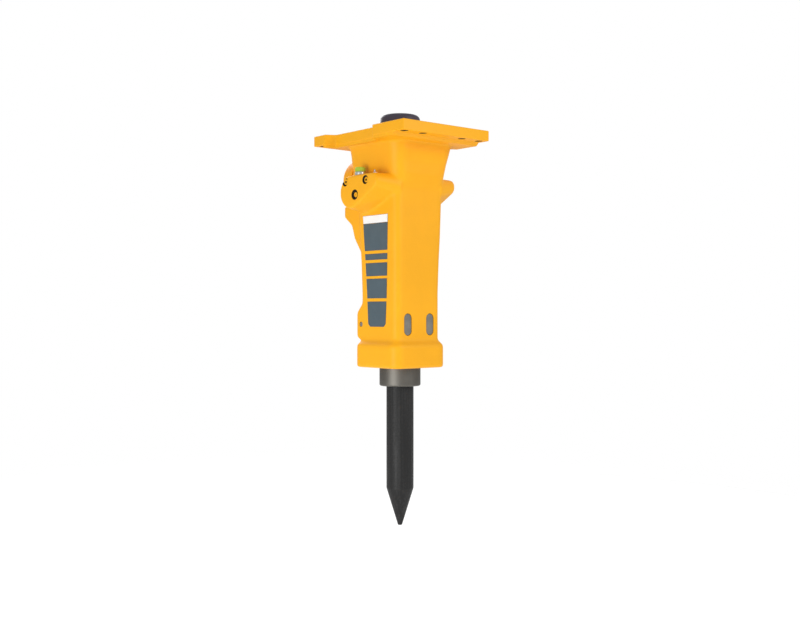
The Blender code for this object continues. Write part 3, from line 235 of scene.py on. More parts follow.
# %% Rubber, plastic and film
def moulded(name, colour, rough, grain=700.0, depth=0.00005, spread=0.14):
    """Moulded rubber or plastic: an even fine grain, a shade uneven in colour and gloss."""
    surface = Surface(name, colour, rough, shine=0.25)
    fine = surface.noise(grain, 2.0)
    slow = surface.noise(25.0, 3.0)
    uneven = surface.mix(slow.sharpen(0.3, 0.7), shade(colour, 1 - spread), shade(colour, 1 + spread))
    surface.feed("Base Color", uneven)
    surface.feed("Roughness", rough - 0.05 + fine * 0.10)
    surface.bump(fine, depth, 0.6)
    return surface.material


PLUG_RUBBER = moulded("plug_rubber", (0.185, 0.178, 0.162), 0.62)
SEAL_RUBBER = moulded("seal_rubber", (0.020, 0.020, 0.021), 0.60)
LIME = moulded("lime_plastic", (0.42, 0.60, 0.055), 0.38, 500.0, 0.00003, 0.06)
DECAL_BLUE = moulded("decal_blue", (0.080, 0.112, 0.132), 0.40, 900.0, 0.00001, 0.04)
DECAL_WHITE = moulded("decal_white", (0.88, 0.90, 0.91), 0.40, 900.0, 0.00001, 0.02)
DECAL_EDGE = moulded("decal_edge", (0.060, 0.070, 0.085), 0.45, 900.0, 0.00001, 0.04)
# Near-black painted shadow for the oil plugs' rebates and hexagon sockets.
SHADOW = moulded("socket_painted_shadow", (0.012, 0.010, 0.010), 0.75)
# Brownish-black painted shade for the inside of the casting's bolt holes and the oil plugs' bores.
BORE_SHADE = moulded("bore_painted_shade", (0.050, 0.036, 0.020), 0.70)
print("finishes:", len(bpy.data.materials))

# %% [markdown]
# ## Shapes used again and again
# Almost everything on a breaker is either turned on a lathe or cut from an outline. A turned piece is
# one section spun round an axis; a plate or a boss is an outline carried through a few levels. Corners
# that a machinist would break get a small radius, written beside the corner itself.

# %% Outlines, turned pieces and lofts
AXES = {"+Z": ((1, 0, 0), (0, 1, 0), (0, 0, 1)), "+X": ((0, 1, 0), (0, 0, 1), (1, 0, 0)),
        "-X": ((0, -1, 0), (0, 0, 1), (-1, 0, 0)), "+Y": ((-1, 0, 0), (0, 0, 1), (0, 1, 0)),
        "-Y": ((1, 0, 0), (0, 0, 1), (0, -1, 0))}
SHARP = math.radians(32)
FIT = 0.0003            # gap under a head, a flange or a cover
ON_AXIS = 1e-9


def along(axis, at):
    """The matrix that lays a shape built along +Z along another axis, at its place."""
    return Matrix.Translation(at) @ Matrix(AXES[axis]).transposed().to_4x4()


def rounded(corners, steps=6):
    """Outline through (u, v) corners; a third number rounds a corner by that radius."""
    outline = []
    for index, (u, v, *radius) in enumerate(corners):
        corner = Vector((u, v))
        before = (Vector(corners[index - 1][:2]) - corner).normalized()
        after = (Vector(corners[(index + 1) % len(corners)][:2]) - corner).normalized()
        if not any(radius):
            outline.append(corner)
            continue
        radius = radius[0]
        half = before.angle(after) / 2
        centre = corner + (before + after).normalized() * radius / math.sin(half)
        start = corner + before * radius / math.tan(half) - centre
        end = corner + after * radius / math.tan(half) - centre
        turn = -start.angle_signed(end)
        outline += [centre + Matrix.Rotation(turn * step / steps, 2) @ start for step in range(steps + 1)]
    return outline


def rectangle(half_u, half_v, radius, centre=(0, 0), steps=6):
    u, v = centre
    return rounded([(u + half_u, v + half_v, radius), (u - half_u, v + half_v, radius),
                    (u - half_u, v - half_v, radius), (u + half_u, v - half_v, radius)], steps)


def stadium(half_u, half_v, steps=20):
    """Upright oblong with round ends."""
    straight = half_v - half_u
    return [(half_u * math.cos(begin + math.pi * step / steps),
             end * straight + half_u * math.sin(begin + math.pi * step / steps))
            for end, begin in ((1, 0.0), (-1, math.pi)) for step in range(steps + 1)]


def circle(radius, sides, turn=0.0):
    angles = [math.tau * step / sides + turn for step in range(sides)]
    return [(radius * math.cos(angle), radius * math.sin(angle)) for angle in angles]


def settle(shape, axis="+Z", at=(0, 0, 0)):
    """Ends a bmesh as a mesh that lies along an axis, with its place in its points."""
    bmesh.ops.remove_doubles(shape, verts=shape.verts, dist=1e-6)
    shape.transform(along(axis, at))
    bmesh.ops.recalc_face_normals(shape, faces=shape.faces)
    if shape.calc_volume(signed=True) < 0:
        bmesh.ops.reverse_faces(shape, faces=shape.faces)
    mesh = bpy.data.meshes.new("shape")
    shape.to_mesh(mesh)
    shape.free()
    return mesh


def turned(section, axis="+Z", at=(0, 0, 0), sides=96):
    """Solid of revolution of a closed section of (radius, height) corners, rounded where they say so."""
    shape = bmesh.new()
    points = [shape.verts.new((u, 0, v)) for u, v in rounded(section)]
    edges = [shape.edges.new((points[index - 1], points[index])) for index in range(len(points))
             if max(points[index - 1].co.x, points[index].co.x) > ON_AXIS]
    bmesh.ops.spin(shape, geom=points + edges, cent=(0, 0, 0), axis=(0, 0, 1), angle=math.tau,
                   steps=sides, use_merge=True)
    return settle(shape, axis, at)


def stepped(start, steps, axis="+Z", at=(0, 0, 0), sides=96):
    """A round bar or bore of several radii: from start, each (radius, end) in turn."""
    section = [(0, start)]
    for radius, end in steps:
        section += [(radius, start), (radius, end)]
        start = end
    return turned([*section, (0, start)], axis, at, sides)


def rod(radius, low, high, axis="+Z", at=(0, 0, 0), sides=64):
    return stepped(low, [(radius, high)], axis, at, sides)


def loft(sections, axis="+Z", at=(0, 0, 0)):
    """Closed solid through sections of (u, v, w) points."""
    shape = bmesh.new()
    loops = [[shape.verts.new(point) for point in section] for section in sections]
    count = len(sections[0])
    for near, far in zip(loops, loops[1:]):
        for index in range(count):
            follow = (index + 1) % count
            shape.faces.new((near[index], near[follow], far[follow], far[index]))
    shape.faces.new(loops[0][::-1])
    shape.faces.new(loops[-1])
    return settle(shape, axis, at)


def inset(outline, distance):
    """The outline moved inward, each point along the bisector of its corner."""
    moved = []
    for index, point in enumerate(outline):
        point = Vector(point)
        inbound = (point - Vector(outline[index - 1])).normalized()
        onward = (Vector(outline[(index + 1) % len(outline)]) - point).normalized()
        both = (inbound + onward).normalized()
        normal = Vector((-both.y, both.x))
        moved.append(point + normal * distance / max(normal.dot(Vector((-inbound.y, inbound.x))), 0.5))
    return moved


def plate(outline, low, high, axis="+Z", at=(0, 0, 0), edge=0.0, steps=4):
    """Outline carried from low to high, with a quarter-round edge at the high end."""
    levels = [(low, 0.0)] + ([] if edge else [(high, 0.0)])
    for step in range(steps + 1) if edge else ():
        angle = math.pi / 2 * step / steps
        levels.append((high - edge + edge * math.sin(angle), edge - edge * math.cos(angle)))
    return loft([[(*point, level) for point in inset(outline, shift)] for level, shift in levels], axis, at)


# %% Pieces that ride on the frame
def thing(name, mesh, *finishes):
    mesh.materials.clear()
    for finish in finishes:
        mesh.materials.append(finish)
    mesh.name = name
    made = bpy.data.objects.new(name, mesh)
    bpy.context.collection.objects.link(made)
    return made


def piece(name, mesh, slot, *finishes, stands_for=()):
    """A finished piece in place of CAD nodes: it rides on their body. The slot argument is not used."""
    mesh.shade_smooth()
    mesh.set_sharp_from_angle(angle=SHARP)
    made = thing(name, mesh, *finishes)
    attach(made, body_of_node[stands_for[0]])
    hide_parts(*stands_for)
    return made


def merged(*meshes):
    """Several meshes as one, as loose solids or as one cutter."""
    shape = bmesh.new()
    for mesh in meshes:
        shape.from_mesh(mesh)
    whole = bpy.data.meshes.new("merged")
    shape.to_mesh(whole)
    shape.free()
    return whole


def evaluated(made):
    """What an object's modifiers make of it, as a plain mesh; the object itself goes."""
    bpy.context.view_layer.update()
    depsgraph = bpy.context.evaluated_depsgraph_get()
    mesh = bpy.data.meshes.new_from_object(made.evaluated_get(depsgraph), depsgraph=depsgraph)
    bpy.data.objects.remove(made)
    return mesh


def boolean(operation, mesh, *others):
    """Adds the other meshes to a mesh or takes them out of it, one after another."""
    made = thing("stock", mesh)
    tools = [thing("cutter", other) for other in others]
    for tool in tools:
        step = made.modifiers.new("step", "BOOLEAN")
        step.solver, step.operation, step.object = "MANIFOLD", operation, tool
    result = evaluated(made)
    for tool in tools:
        bpy.data.objects.remove(tool)
    return result


def cut(mesh, *cutters):
    return boolean("DIFFERENCE", mesh, *cutters)


def middle(node):
    low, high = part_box(node)
    return (Vector(low) + Vector(high)) / 2


def radius_of(node, axis="x"):
    low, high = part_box(node)
    return (getattr(Vector(high), axis) - getattr(Vector(low), axis)) / 2


# %% [markdown]
# ## The body casting
# The real body is one iron casting: flange, neck, barrel, side bosses, back housings and collar run
# into each other through soft fillets that the foundry needs. Beveling Boolean joints by hand rarely
# gives those, so the plain volumes are melted together on a fine voxel grid and then relaxed, which
# rounds every ridge and every inner corner alike. The flange is milled, so it joins the skin afterwards
# with its own broken edges. The holes are cut last and stay sharp.

# %% The barrel's levels
BODY_LOW, BODY_HIGH = (Vector(corner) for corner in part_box("body"))
FLANGE_HALF_X, FLANGE_HALF_Y = BODY_HIGH.x, BODY_HIGH.y
FLANGE_THICK = 0.0354
BARREL_HALF, BARREL_CORNER = 0.1015, 0.027
# height, then half width, front, back and corner radius
LEVELS = np.array([
    (-0.0300, 0.1520, 0.1540, 0.1500, 0.048), (-0.0450, 0.1440, 0.1480, 0.1450, 0.048),
    (-0.0520, 0.1370, 0.1429, 0.1415, 0.050), (-0.0760, 0.1310, 0.1413, 0.1415, 0.050),
    (-0.1120, 0.1245, 0.1306, 0.1415, 0.045), (-0.1540, 0.1170, 0.1258, 0.1350, 0.045),
    (-0.2000, 0.1112, 0.1125, 0.1200, 0.034), (-0.2520, 0.1095, 0.1095, 0.1095, 0.027),
    (-0.3650, 0.1070, 0.1070, 0.1070, 0.027), (-0.4490, 0.1040, 0.1040, 0.1040, 0.027),
    (-0.5600, 0.1015, 0.1015, 0.1015, 0.027), (-0.5940, 0.1015, 0.1015, 0.1015, 0.027),
    (-0.6260, 0.1015, 0.1015, 0.1310, 0.027), (-0.7110, 0.1015, 0.1015, 0.1310, 0.027)])


def side_of_barrel(height):
    """Half width of the barrel at a height."""
    return float(np.interp(-height, -LEVELS[:, 0], LEVELS[:, 1]))


def level(height, side, front, back, corner):
    outline = rectangle(side, (front + back) / 2, corner, (0, (back - front) / 2), 10)
    return [(u, v, height) for u, v in outline]


def square(height, half, corner):
    return level(height, half, half, half, corner)


# %% The casting's volumes
COLLAR_TOP, COLLAR_SHOULDER, COLLAR_BOTTOM = -0.7240, -0.7390, BODY_LOW.z
COLLAR_HALF, COLLAR_CORNER = 0.1186, 0.040
BAND_HIGH = 0.0050


def barrel_volume():
    sections = [level(*row) for row in LEVELS]
    sections.append(level(COLLAR_TOP + BAND_HIGH, BARREL_HALF, BARREL_HALF, COLLAR_HALF, BARREL_CORNER))
    sections.append(square(COLLAR_TOP, BARREL_HALF, BARREL_CORNER))
    sections.append(square(COLLAR_TOP - 0.001, BARREL_HALF, BARREL_CORNER))
    return loft(sections)


def collar_volume():
    lip = COLLAR_HALF - (COLLAR_TOP - COLLAR_SHOULDER)
    return loft([square(COLLAR_TOP, lip, BARREL_CORNER), square(COLLAR_SHOULDER, COLLAR_HALF, COLLAR_CORNER),
                 square(COLLAR_BOTTOM, COLLAR_HALF, COLLAR_CORNER)])


# %% The flange: a plate with scalloped sides and a thicker middle
SCALLOP_DEEP, SCALLOP_FRONT, SCALLOP_BACK, SCALLOP_SLOPE = 0.034, -0.066, 0.160, 0.020
FLANGE_CORNER, SCALLOP_CORNER, FLANGE_EDGE = 0.003, 0.012, 0.0015
WEB_Y, WEB_SLOPE, WEB_THICK, WEB_LAP = 0.200, 0.012, 0.046, 0.004


def flange_outline(end_y):
    inner = FLANGE_HALF_X - SCALLOP_DEEP
    right = [(FLANGE_HALF_X, -end_y, FLANGE_CORNER), (FLANGE_HALF_X, SCALLOP_FRONT - SCALLOP_SLOPE, FLANGE_CORNER),
             (inner, SCALLOP_FRONT, SCALLOP_CORNER), (inner, SCALLOP_BACK, SCALLOP_CORNER),
             (FLANGE_HALF_X, SCALLOP_BACK + SCALLOP_SLOPE, FLANGE_CORNER), (FLANGE_HALF_X, end_y, FLANGE_CORNER)]
    return rounded(right + [(-x, y, radius) for x, y, radius in reversed(right)])


def flange_plate():
    """The machined plate, with a broken edge above and below."""
    outline = flange_outline(FLANGE_HALF_Y)
    levels = [(-FLANGE_THICK, FLANGE_EDGE), (-FLANGE_THICK + FLANGE_EDGE, 0), (-FLANGE_EDGE, 0), (0, FLANGE_EDGE)]
    return loft([[(*point, height) for point in inset(outline, shift)] for height, shift in levels])


def flange_web(shift=0.0):
    levels = [(-FLANGE_THICK + WEB_LAP, WEB_Y + WEB_LAP), (-WEB_THICK + shift, WEB_Y - WEB_SLOPE)]
    return loft([[(*point, height) for point in inset(flange_outline(end_y), FLANGE_EDGE)]
                 for height, end_y in levels])


# %% The side bosses
BOSS_FACE_X, BOSS_ROOT_X, BOSS_TOP = 0.180, 0.090, -0.155
BOSS_ROUND, BOSS_BACK_Y = 0.056, 0.110
BOSS_NOSE, BOSS_FRONT_Y = 0.026, -0.089
FLARE_FRONT, FLARE_BACK, FLARE_NOSE, FACE_LAP = 0.028, 0.009, 0.014, 0.001
SIDES = {"left": -1, "right": 1}


def boss_outline(front_y, back_radius, nose_radius, steps=32):
    """Side view: a large round end at the back and a small one in front, under one flat top."""
    back = Vector((BOSS_BACK_Y - BOSS_ROUND, BOSS_TOP - back_radius))
    nose = Vector((front_y + nose_radius, BOSS_TOP - nose_radius))
    apart = nose - back
    touch = math.atan2(apart.y, apart.x) % math.tau + math.acos((back_radius - nose_radius) / apart.length)
    top = math.pi / 2
    outline = []
    ends = ((back, back_radius, touch, top + math.tau), (nose, nose_radius, top, touch))
    for centre, radius, begin, finish in ends:
        for step in range(steps + 1):
            angle = begin + (finish - begin) * step / steps
            outline.append((centre.x + radius * math.cos(angle), centre.y + radius * math.sin(angle)))
    return outline


def boss_volume(side):
    """A boss that spreads toward its root at the front and underneath."""
    root = boss_outline(BOSS_FRONT_Y - FLARE_FRONT, BOSS_ROUND + FLARE_BACK, BOSS_NOSE + FLARE_NOSE)
    face = boss_outline(BOSS_FRONT_Y, BOSS_ROUND, BOSS_NOSE)
    return loft([[(side * BOSS_ROOT_X, u, v) for u, v in root],
                 [(side * (BOSS_FACE_X + FACE_LAP), u, v) for u, v in face]])


# %% The back housings
ACCUMULATOR = middle("accumulator_cover")
ACCUMULATOR_RADIUS = radius_of("accumulator_cover")
ACCUMULATOR_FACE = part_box("accumulator_cover")[0][1] - FIT
VALVE = middle("valve_cover")
VALVE_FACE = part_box("valve_cover")[0][1] - FIT
VALVE_HALF_X, VALVE_TOP, VALVE_FACE_BOTTOM, VALVE_FOOT = 0.095, -0.245, -0.286, -0.414


def valve_volume():
    foot = side_of_barrel(VALVE_FOOT)
    slope = [(foot - 0.020, VALVE_TOP), (foot - 0.020, VALVE_FOOT), (foot, VALVE_FOOT), (0.140, -0.365),
             (0.157, -0.317), (VALVE_FACE, VALVE_FACE_BOTTOM), (VALVE_FACE, VALVE_TOP)]
    return loft([[(x, y, z) for y, z in slope] for x in (-VALVE_HALF_X, VALVE_HALF_X)])


def accumulator_volume():
    return rod(ACCUMULATOR_RADIUS, 0.080, ACCUMULATOR_FACE, "+Y", (0, 0, ACCUMULATOR.z), 96)


# %% Melt and relax
VOXEL = 0.0036
CAST_ROUNDS = 6


def wire_up(tree, *wires):
    """Links each (node, output, node, input) row."""
    for source, output, target, into in wires:
        tree.links.new(source.outputs[output], target.inputs[into])


def tree_sockets(tree, named):
    """Named inputs, then the geometry that comes out."""
    for name, kind, value in named:
        socket = tree.interface.new_socket(name, in_out="INPUT", socket_type=kind)
        if value is not None:
            socket.default_value = value
    tree.interface.new_socket("Geometry", in_out="OUTPUT", socket_type="NodeSocketGeometry")


def set_inputs(modifier, values):
    """Sets a tree's inputs by the identifiers of their sockets."""
    items = modifier.node_group.interface.items_tree
    ids = {item.name: item.identifier for item in items if item.in_out == "INPUT"}
    for name, value in values.items():
        modifier[ids[name]] = value


def relax_tree():
    """Blurs the points' places, which fillets the edges and inner corners of a voxel skin."""
    tree = bpy.data.node_groups.new("relax_casting", "GeometryNodeTree")
    tree_sockets(tree, [("Geometry", "NodeSocketGeometry", None), ("Rounds", "NodeSocketInt", CAST_ROUNDS)])
    add = tree.nodes.new
    start, end = add("NodeGroupInput"), add("NodeGroupOutput")
    place, blur, move = (add(f"GeometryNode{kind}") for kind in ("InputPosition", "BlurAttribute", "SetPosition"))
    blur.data_type = "FLOAT_VECTOR"
    wire_up(tree, (place, 0, blur, "Value"), (start, "Rounds", blur, "Iterations"),
            (start, "Geometry", move, "Geometry"), (blur, "Value", move, "Position"),
            (move, "Geometry", end, "Geometry"))
    return tree


def melted(*volumes):
    made = thing("volumes", merged(*volumes))
    voxels = made.modifiers.new("melt", "REMESH")
    voxels.mode, voxels.voxel_size = "VOXEL", VOXEL
    relax = made.modifiers.new("relax", "NODES")
    relax.node_group = relax_tree()
    return evaluated(made)


casting = melted(barrel_volume(), collar_volume(), flange_web(0.0008), boss_volume(-1), boss_volume(1),
                 valve_volume(), accumulator_volume())
casting = boolean("UNION", casting, flange_plate(), flange_web())
print("casting:", len(casting.polygons), "faces before machining")

# %% [markdown]
# ## Machining the casting
# Everything that fits the casting sits in a bored or milled seat. The seats are taken from the frame's
# own boxes with a small clearance, so each piece drops into its hole. Cutters that don't meet each
# other are cut in one go; those that cross an earlier hole come after it.

# %% Bores, slots and screw holes
CLEAR = 0.0005
REACH = 0.010
HEAD_SEAT = -0.001


def main_bore():
    spigot = radius_of("backhead_o_ring")
    liner = radius_of("cylinder_liner") + CLEAR
    spigot_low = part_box("backhead")[0][2] - CLEAR
    liner_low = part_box("cylinder_liner")[0][2] - CLEAR
    upper, upper_top = radius_of("upper_bush") + CLEAR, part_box("thrust_ring")[1][2] + CLEAR
    lower, lower_top = radius_of("lower_bush") + 0.0012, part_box("lower_bush")[1][2] + CLEAR
    stem, head = 0.043, radius_of("backhead") + 0.001
    return stepped(REACH, [(head, HEAD_SEAT), (spigot, spigot_low), (liner, liner_low), (stem, upper_top),
                           (upper, lower_top), (lower, COLLAR_BOTTOM - REACH)])


FLANGE_HOLE = 0.014
FLANGE_HOLES = [(x, y) for y in (-0.221, 0.221) for x in (-0.168, -0.088, 0.088, 0.168)]
SLOT_CLEAR = 0.0012
PLUG_COUNTERBORE, COUNTERBORE_DEEP = 0.0022, 0.006


def flange_hole(x, y):
    edge = 0.0012
    low, high = -FLANGE_THICK, 0.0
    return turned([(0, low - REACH), (FLANGE_HOLE + edge + REACH, low - REACH), (FLANGE_HOLE, low + edge),
                   (FLANGE_HOLE, high - edge), (FLANGE_HOLE + edge + REACH, high + REACH),
                   (0, high + REACH)], at=(x, y, 0), sides=64)


def bar_slot(label):
    bar = f"retainer_bar_{label}"
    centre = middle(bar)
    outline = stadium(radius_of(bar) + SLOT_CLEAR, radius_of(bar, "z") + SLOT_CLEAR)
    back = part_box(bar)[1][1] + CLEAR
    return plate(outline, -back, BARREL_HALF + REACH, "-Y", (centre.x, 0, centre.z))


def boss_holes(label, side):
    """The plugs' bores. Number 2 lies nearer the boss's top rear edge than its radius, and opens through it."""
    outward = "+X" if side > 0 else "-X"
    cutters = []
    for number in (1, 2, 3):
        node = f"gallery_plug_{label}_{number}"
        centre, radius = middle(node), radius_of(node, "z")
        inner = min(abs(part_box(node)[0][0]), abs(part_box(node)[1][0])) - CLEAR
        bore = [(radius + CLEAR, BOSS_FACE_X - COUNTERBORE_DEEP), (radius + PLUG_COUNTERBORE, BOSS_FACE_X + REACH)]
        cutters.append(stepped(inner, bore, outward, (0, centre.y, centre.z), 48))
    return cutters


def cover_holes():
    """The dish behind the diaphragm, the valve's bore and the bolt holes of both covers."""
    dish = turned([(0, 0.130), (0.030, 0.140), (0.050, ACCUMULATOR_FACE - 0.012),
                   (0.050, ACCUMULATOR_FACE + REACH), (0, ACCUMULATOR_FACE + REACH)], "+Y",
                  (0, 0, ACCUMULATOR.z), 64)
    valve = rod(radius_of("valve_sleeve") + CLEAR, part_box("valve_sleeve")[0][1] - CLEAR, VALVE_FACE + REACH, "+Y",
                (0, 0, VALVE.z), 48)
    bolts = []
    for node in [name for name in nodes if "_bolt_" in name]:
        centre, low = middle(node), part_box(node)[0][1]
        bolts.append(rod(0.0063, low - CLEAR, VALVE_FACE + REACH, "+Y", (centre.x, 0, centre.z), 24))
    return [dish, valve, *bolts]


def pin_holes():
    """The lock pin's hole, the lower bush pin's hole and the grease nipple's."""
    lock, pin, nipple = middle("lock_pin_plug"), middle("bush_pin_plug"), middle("grease_nipple")
    lock_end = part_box("retainer_lock_pin")[1][0] + CLEAR
    pin_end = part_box("bush_pin")[0][1] - CLEAR
    nipple_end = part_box("grease_nipple")[0][2] - CLEAR
    return [rod(radius_of("lock_pin_plug", "z") + SLOT_CLEAR, -lock_end, BARREL_HALF + REACH, "-X",
                 (0, lock.y, lock.z), 48),
            rod(radius_of("bush_pin_plug", "z") + SLOT_CLEAR, pin_end, COLLAR_HALF + REACH, "+Y",
                 (pin.x, 0, pin.z), 48),
            rod(0.0053, nipple_end, BOSS_TOP + REACH, at=(nipple.x, nipple.y, 0), sides=24)]


def port_holes():
    """The oil ports, which meet the lowest plugs' holes inside the bosses."""
    ports = [middle(f"port_adapter_{label}") for label in SIDES]
    return [rod(0.0168, BOSS_TOP - 0.065, BOSS_TOP + REACH, at=(port.x, port.y, 0)) for port in ports]


apart = [flange_hole(x, y) for x, y in FLANGE_HOLES] + [bar_slot(label) for label in SIDES]
for label, side in SIDES.items():
    apart += boss_holes(label, side)
casting = cut(casting, merged(*apart), main_bore(), merged(*cover_holes()), merged(*pin_holes(), *port_holes()))
body = piece("body_casting", casting, "yellow_paint", YELLOW, BORE_SHADE, stands_for=["body"])
# Faces in the flange's bolt holes and round the oil plugs' bores take the second finish, painted shade.
PLUGS = [(middle(node).y, middle(node).z, radius_of(node, "z") + PLUG_COUNTERBORE + 0.0002)
         for node in nodes if node.startswith("gallery_plug_left")]
for polygon in casting.polygons:
    spot = polygon.center
    in_flange = -FLANGE_THICK < spot.z and any(math.hypot(spot.x - x, spot.y - y) < FLANGE_HOLE + 0.0002
                                               for x, y in FLANGE_HOLES)
    in_boss = 0.150 < abs(spot.x) < BOSS_FACE_X - 0.001 and any(
        math.hypot(spot.y - y, spot.z - z) < radius for y, z, radius in PLUGS)
    polygon.material_index = 1 if in_flange or in_boss else 0
print("body:", len(body.data.polygons), "faces")

# %% [markdown]
# ## Backhead
# The dark head over the flange closes the gas chamber. It is turned from one bar, with a generous edge
# radius and a gas valve sunk in the top, where the carrier's bracket can't knock it. The chamber below
# is hollow, because the piston's upper end runs in it.

# %% A filling valve, for both gas chambers
VALVE_HEAD_HIGH, VALVE_TIP_RADIUS = 0.006, 0.006


def filling_valve(heights, stem, head, under, edge, axis="+Z", at=(0, 0, 0)):
    """A stem, a wider head on the seat and a slim tip; heights are the low end, the seat and the tip."""
    low, seat, tip = heights
    top = seat + VALVE_HEAD_HIGH
    return turned([(0, low), (stem, low), (stem, seat + FIT), (head, seat + FIT, under), (head, top, edge),
                   (VALVE_TIP_RADIUS, top, 0.0006), (VALVE_TIP_RADIUS, tip, edge), (0, tip)], axis, at, 48)


# %% The backhead and its valve
head_low, head_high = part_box("backhead")
HEAD_RADIUS = head_high[0]
backhead = turned([
    (0.063, head_low[2], 0.0015), (0.063, head_low[2] + 0.012), (0.059, head_low[2] + 0.012),
    (0.059, head_low[2] + 0.0165), (0.063, head_low[2] + 0.0165), (0.063, HEAD_SEAT + FIT),
    (HEAD_RADIUS, HEAD_SEAT + FIT, 0.0010), (HEAD_RADIUS, head_high[2], 0.0160), (0.030, head_high[2], 0.0015),
    (0.026, head_high[2] - 0.012, 0.0015), (0.0103, head_high[2] - 0.012), (0.0103, 0.038),
    (0.048, 0.038, 0.008), (0.048, head_low[2])], sides=128)
piece("backhead_turned", backhead, "dark_paint", HEAD_GREY, stands_for=["backhead"])
valve_low, valve_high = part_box("gas_valve")
seat = head_high[2] - 0.012
stem = filling_valve((valve_low[2], seat, valve_high[2]), 0.010, 0.0158, 0.0004, 0.0010)
piece("gas_valve_turned", stem, "bright_steel", ZINC, stands_for=["gas_valve"])

# %% [markdown]
# ## Tool and lower bush
# The tool is a 95 mm bar drawn to a point, with two long flats that the retainer bars ride in. The
# bush round it floats: it may turn a little with every blow, so it wears evenly. A dust seal sits just
# inside.

# %% The tool
tool_low, tool_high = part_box("tool")
TOOL_RADIUS = tool_high[0]
TAPER_TOP = -1.239
SHOULDER = -0.540
tool_body = turned([
    (0, tool_low[2]), (0.0072, tool_low[2], 0.0022), (TOOL_RADIUS, TAPER_TOP, 0.012),
    (TOOL_RADIUS, SHOULDER - 0.004, 0.0015), (0.042, SHOULDER, 0.0015), (0.042, tool_high[2] - 0.004, 0.0012),
    (0.038, tool_high[2], 0.0012), (0, tool_high[2])], sides=160)
bar_low, bar_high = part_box("retainer_bar_right")
FLAT_X = bar_low[0] - 0.0005
TRAVEL = next(joint for joint in frame["joints"] if joint["name"] == "tool_slide")["range_m"][1]
FLAT_DEEP, FLAT_HALF_Y = 0.030, 0.060
flat_top, flat_bottom = bar_high[2] + FIT, bar_low[2] - TRAVEL - FIT
flat = [(FLAT_X, flat_top), (FLAT_X + FLAT_DEEP, flat_top), (FLAT_X + FLAT_DEEP, flat_bottom), (FLAT_X, flat_bottom)]
flats = [loft([[(side * x, y, z) for x, z in flat] for y in (-FLAT_HALF_Y, FLAT_HALF_Y)]) for side in SIDES.values()]
tool_body = cut(tool_body, merged(*flats))
piece("tool_point", tool_body, "tool_steel", TOOL_BLACK, stands_for=["tool"])

# %% The lower bush and its dust seal
bush_low, bush_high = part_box("lower_bush")
BUSH_RADIUS = bush_high[0]
pin = middle("bush_pin")
groove = radius_of("bush_pin", "z") + 0.001
seal_low, seal_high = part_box("dust_seal")
guide = TOOL_RADIUS + 0.001
bush = turned([
    (BUSH_RADIUS, bush_low[2], 0.0060), (BUSH_RADIUS, pin.z - groove), (BUSH_RADIUS - 0.009, pin.z - groove),
    (BUSH_RADIUS - 0.009, pin.z + groove), (BUSH_RADIUS, pin.z + groove), (BUSH_RADIUS, bush_high[2], 0.0010),
    (guide, bush_high[2], 0.0010), (guide, seal_high[2] + FIT), (guide + 0.0045, seal_high[2] + FIT),
    (guide + 0.0045, seal_low[2] - FIT), (guide, seal_low[2] - FIT),
    (guide, bush_low[2], 0.0030)], sides=160)
piece("lower_bush_turned", bush, "bush_steel", BUSH_STEEL, stands_for=["lower_bush"])

# %% [markdown]
# ## Plugs in the casting
# Rubber plugs keep grit out of the retainer bars' slots. Each is a moulded oblong with a soft edge,
# a hair under the face, so a dark line of shadow runs round it. The oil plugs in the side bosses are
# steel, painted over with the casting; the rebate round each head and the sockets of the two small
# ones are painted near-black as shade.

# %% Retainer plugs and pin plugs
def rubber_plug(node, outline, axis, face, inner, at):
    mesh = plate(outline, inner, face, axis, at, edge=0.0022)
    piece(f"{node}_moulded", mesh, "grey_rubber", PLUG_RUBBER, stands_for=[node])


for label in SIDES:
    node = f"retainer_plug_{label}"
    low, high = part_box(node)
    outline = stadium(radius_of(node), radius_of(node, "z"))
    rubber_plug(node, outline, "-Y", -low[1], -high[1], (middle(node).x, 0, middle(node).z))
low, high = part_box("lock_pin_plug")
at = middle("lock_pin_plug") * Vector((0, 1, 1))
rubber_plug("lock_pin_plug", circle(radius_of("lock_pin_plug", "z"), 40), "-X", -low[0], -high[0], at)
low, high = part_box("bush_pin_plug")
at = middle("bush_pin_plug") * Vector((1, 0, 1))
rubber_plug("bush_pin_plug", circle(radius_of("bush_pin_plug"), 40), "+Y", high[1], low[1], at)

# %% Oil plugs with painted shade in the rebate round the head
REBATE_DEEP = 0.0040
REBATES = {1: 0.0034, 2: 0.0036, 3: 0.0066}


def socket_plug(node, number, side):
    """Painted plug whose head stands in a rebate painted near-black as shade; the two small ones have a hexagon
    socket, painted near-black as shade too.
    """
    outward = "+X" if side > 0 else "-X"
    low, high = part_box(node)
    inner, face = sorted((abs(low[0]), abs(high[0])))
    radius, centre = radius_of(node, "z"), (0, middle(node).y, middle(node).z)
    crown = radius - REBATES[number]
    mesh = turned([(0, inner), (radius - 0.001, inner), (radius - 0.001, inner + 0.002),
                   (radius, inner + 0.002), (radius, face - REBATE_DEEP, 0.0004), (crown, face - REBATE_DEEP),
                   (crown, face, 0.0014), (0, face)], outward, centre, 48)
    socket = crown * (0.50 if number < 3 else 0.30)
    mesh = cut(mesh, plate(circle(socket, 6, math.pi / 6), face - 0.006, face + REACH, outward, centre))
    piece(f"{node}_painted", mesh, "yellow_paint", YELLOW, SHADOW, stands_for=[node])
    # Faces in the rebate, and the walls and floors of the small plugs' sockets, take the near-black finish: painted
    # shadow.
    for polygon in mesh.polygons:
        from_axis = math.hypot(polygon.center.y - centre[1], polygon.center.z - centre[2])
        from_face = face - abs(polygon.center.x)
        rebate = from_axis > crown - 0.0001 and from_face > 0.0016
        sunk = from_axis < socket * 1.02 and 0.0004 < from_face < 0.0062 and number < 3
        polygon.material_index = 1 if rebate or sunk else 0


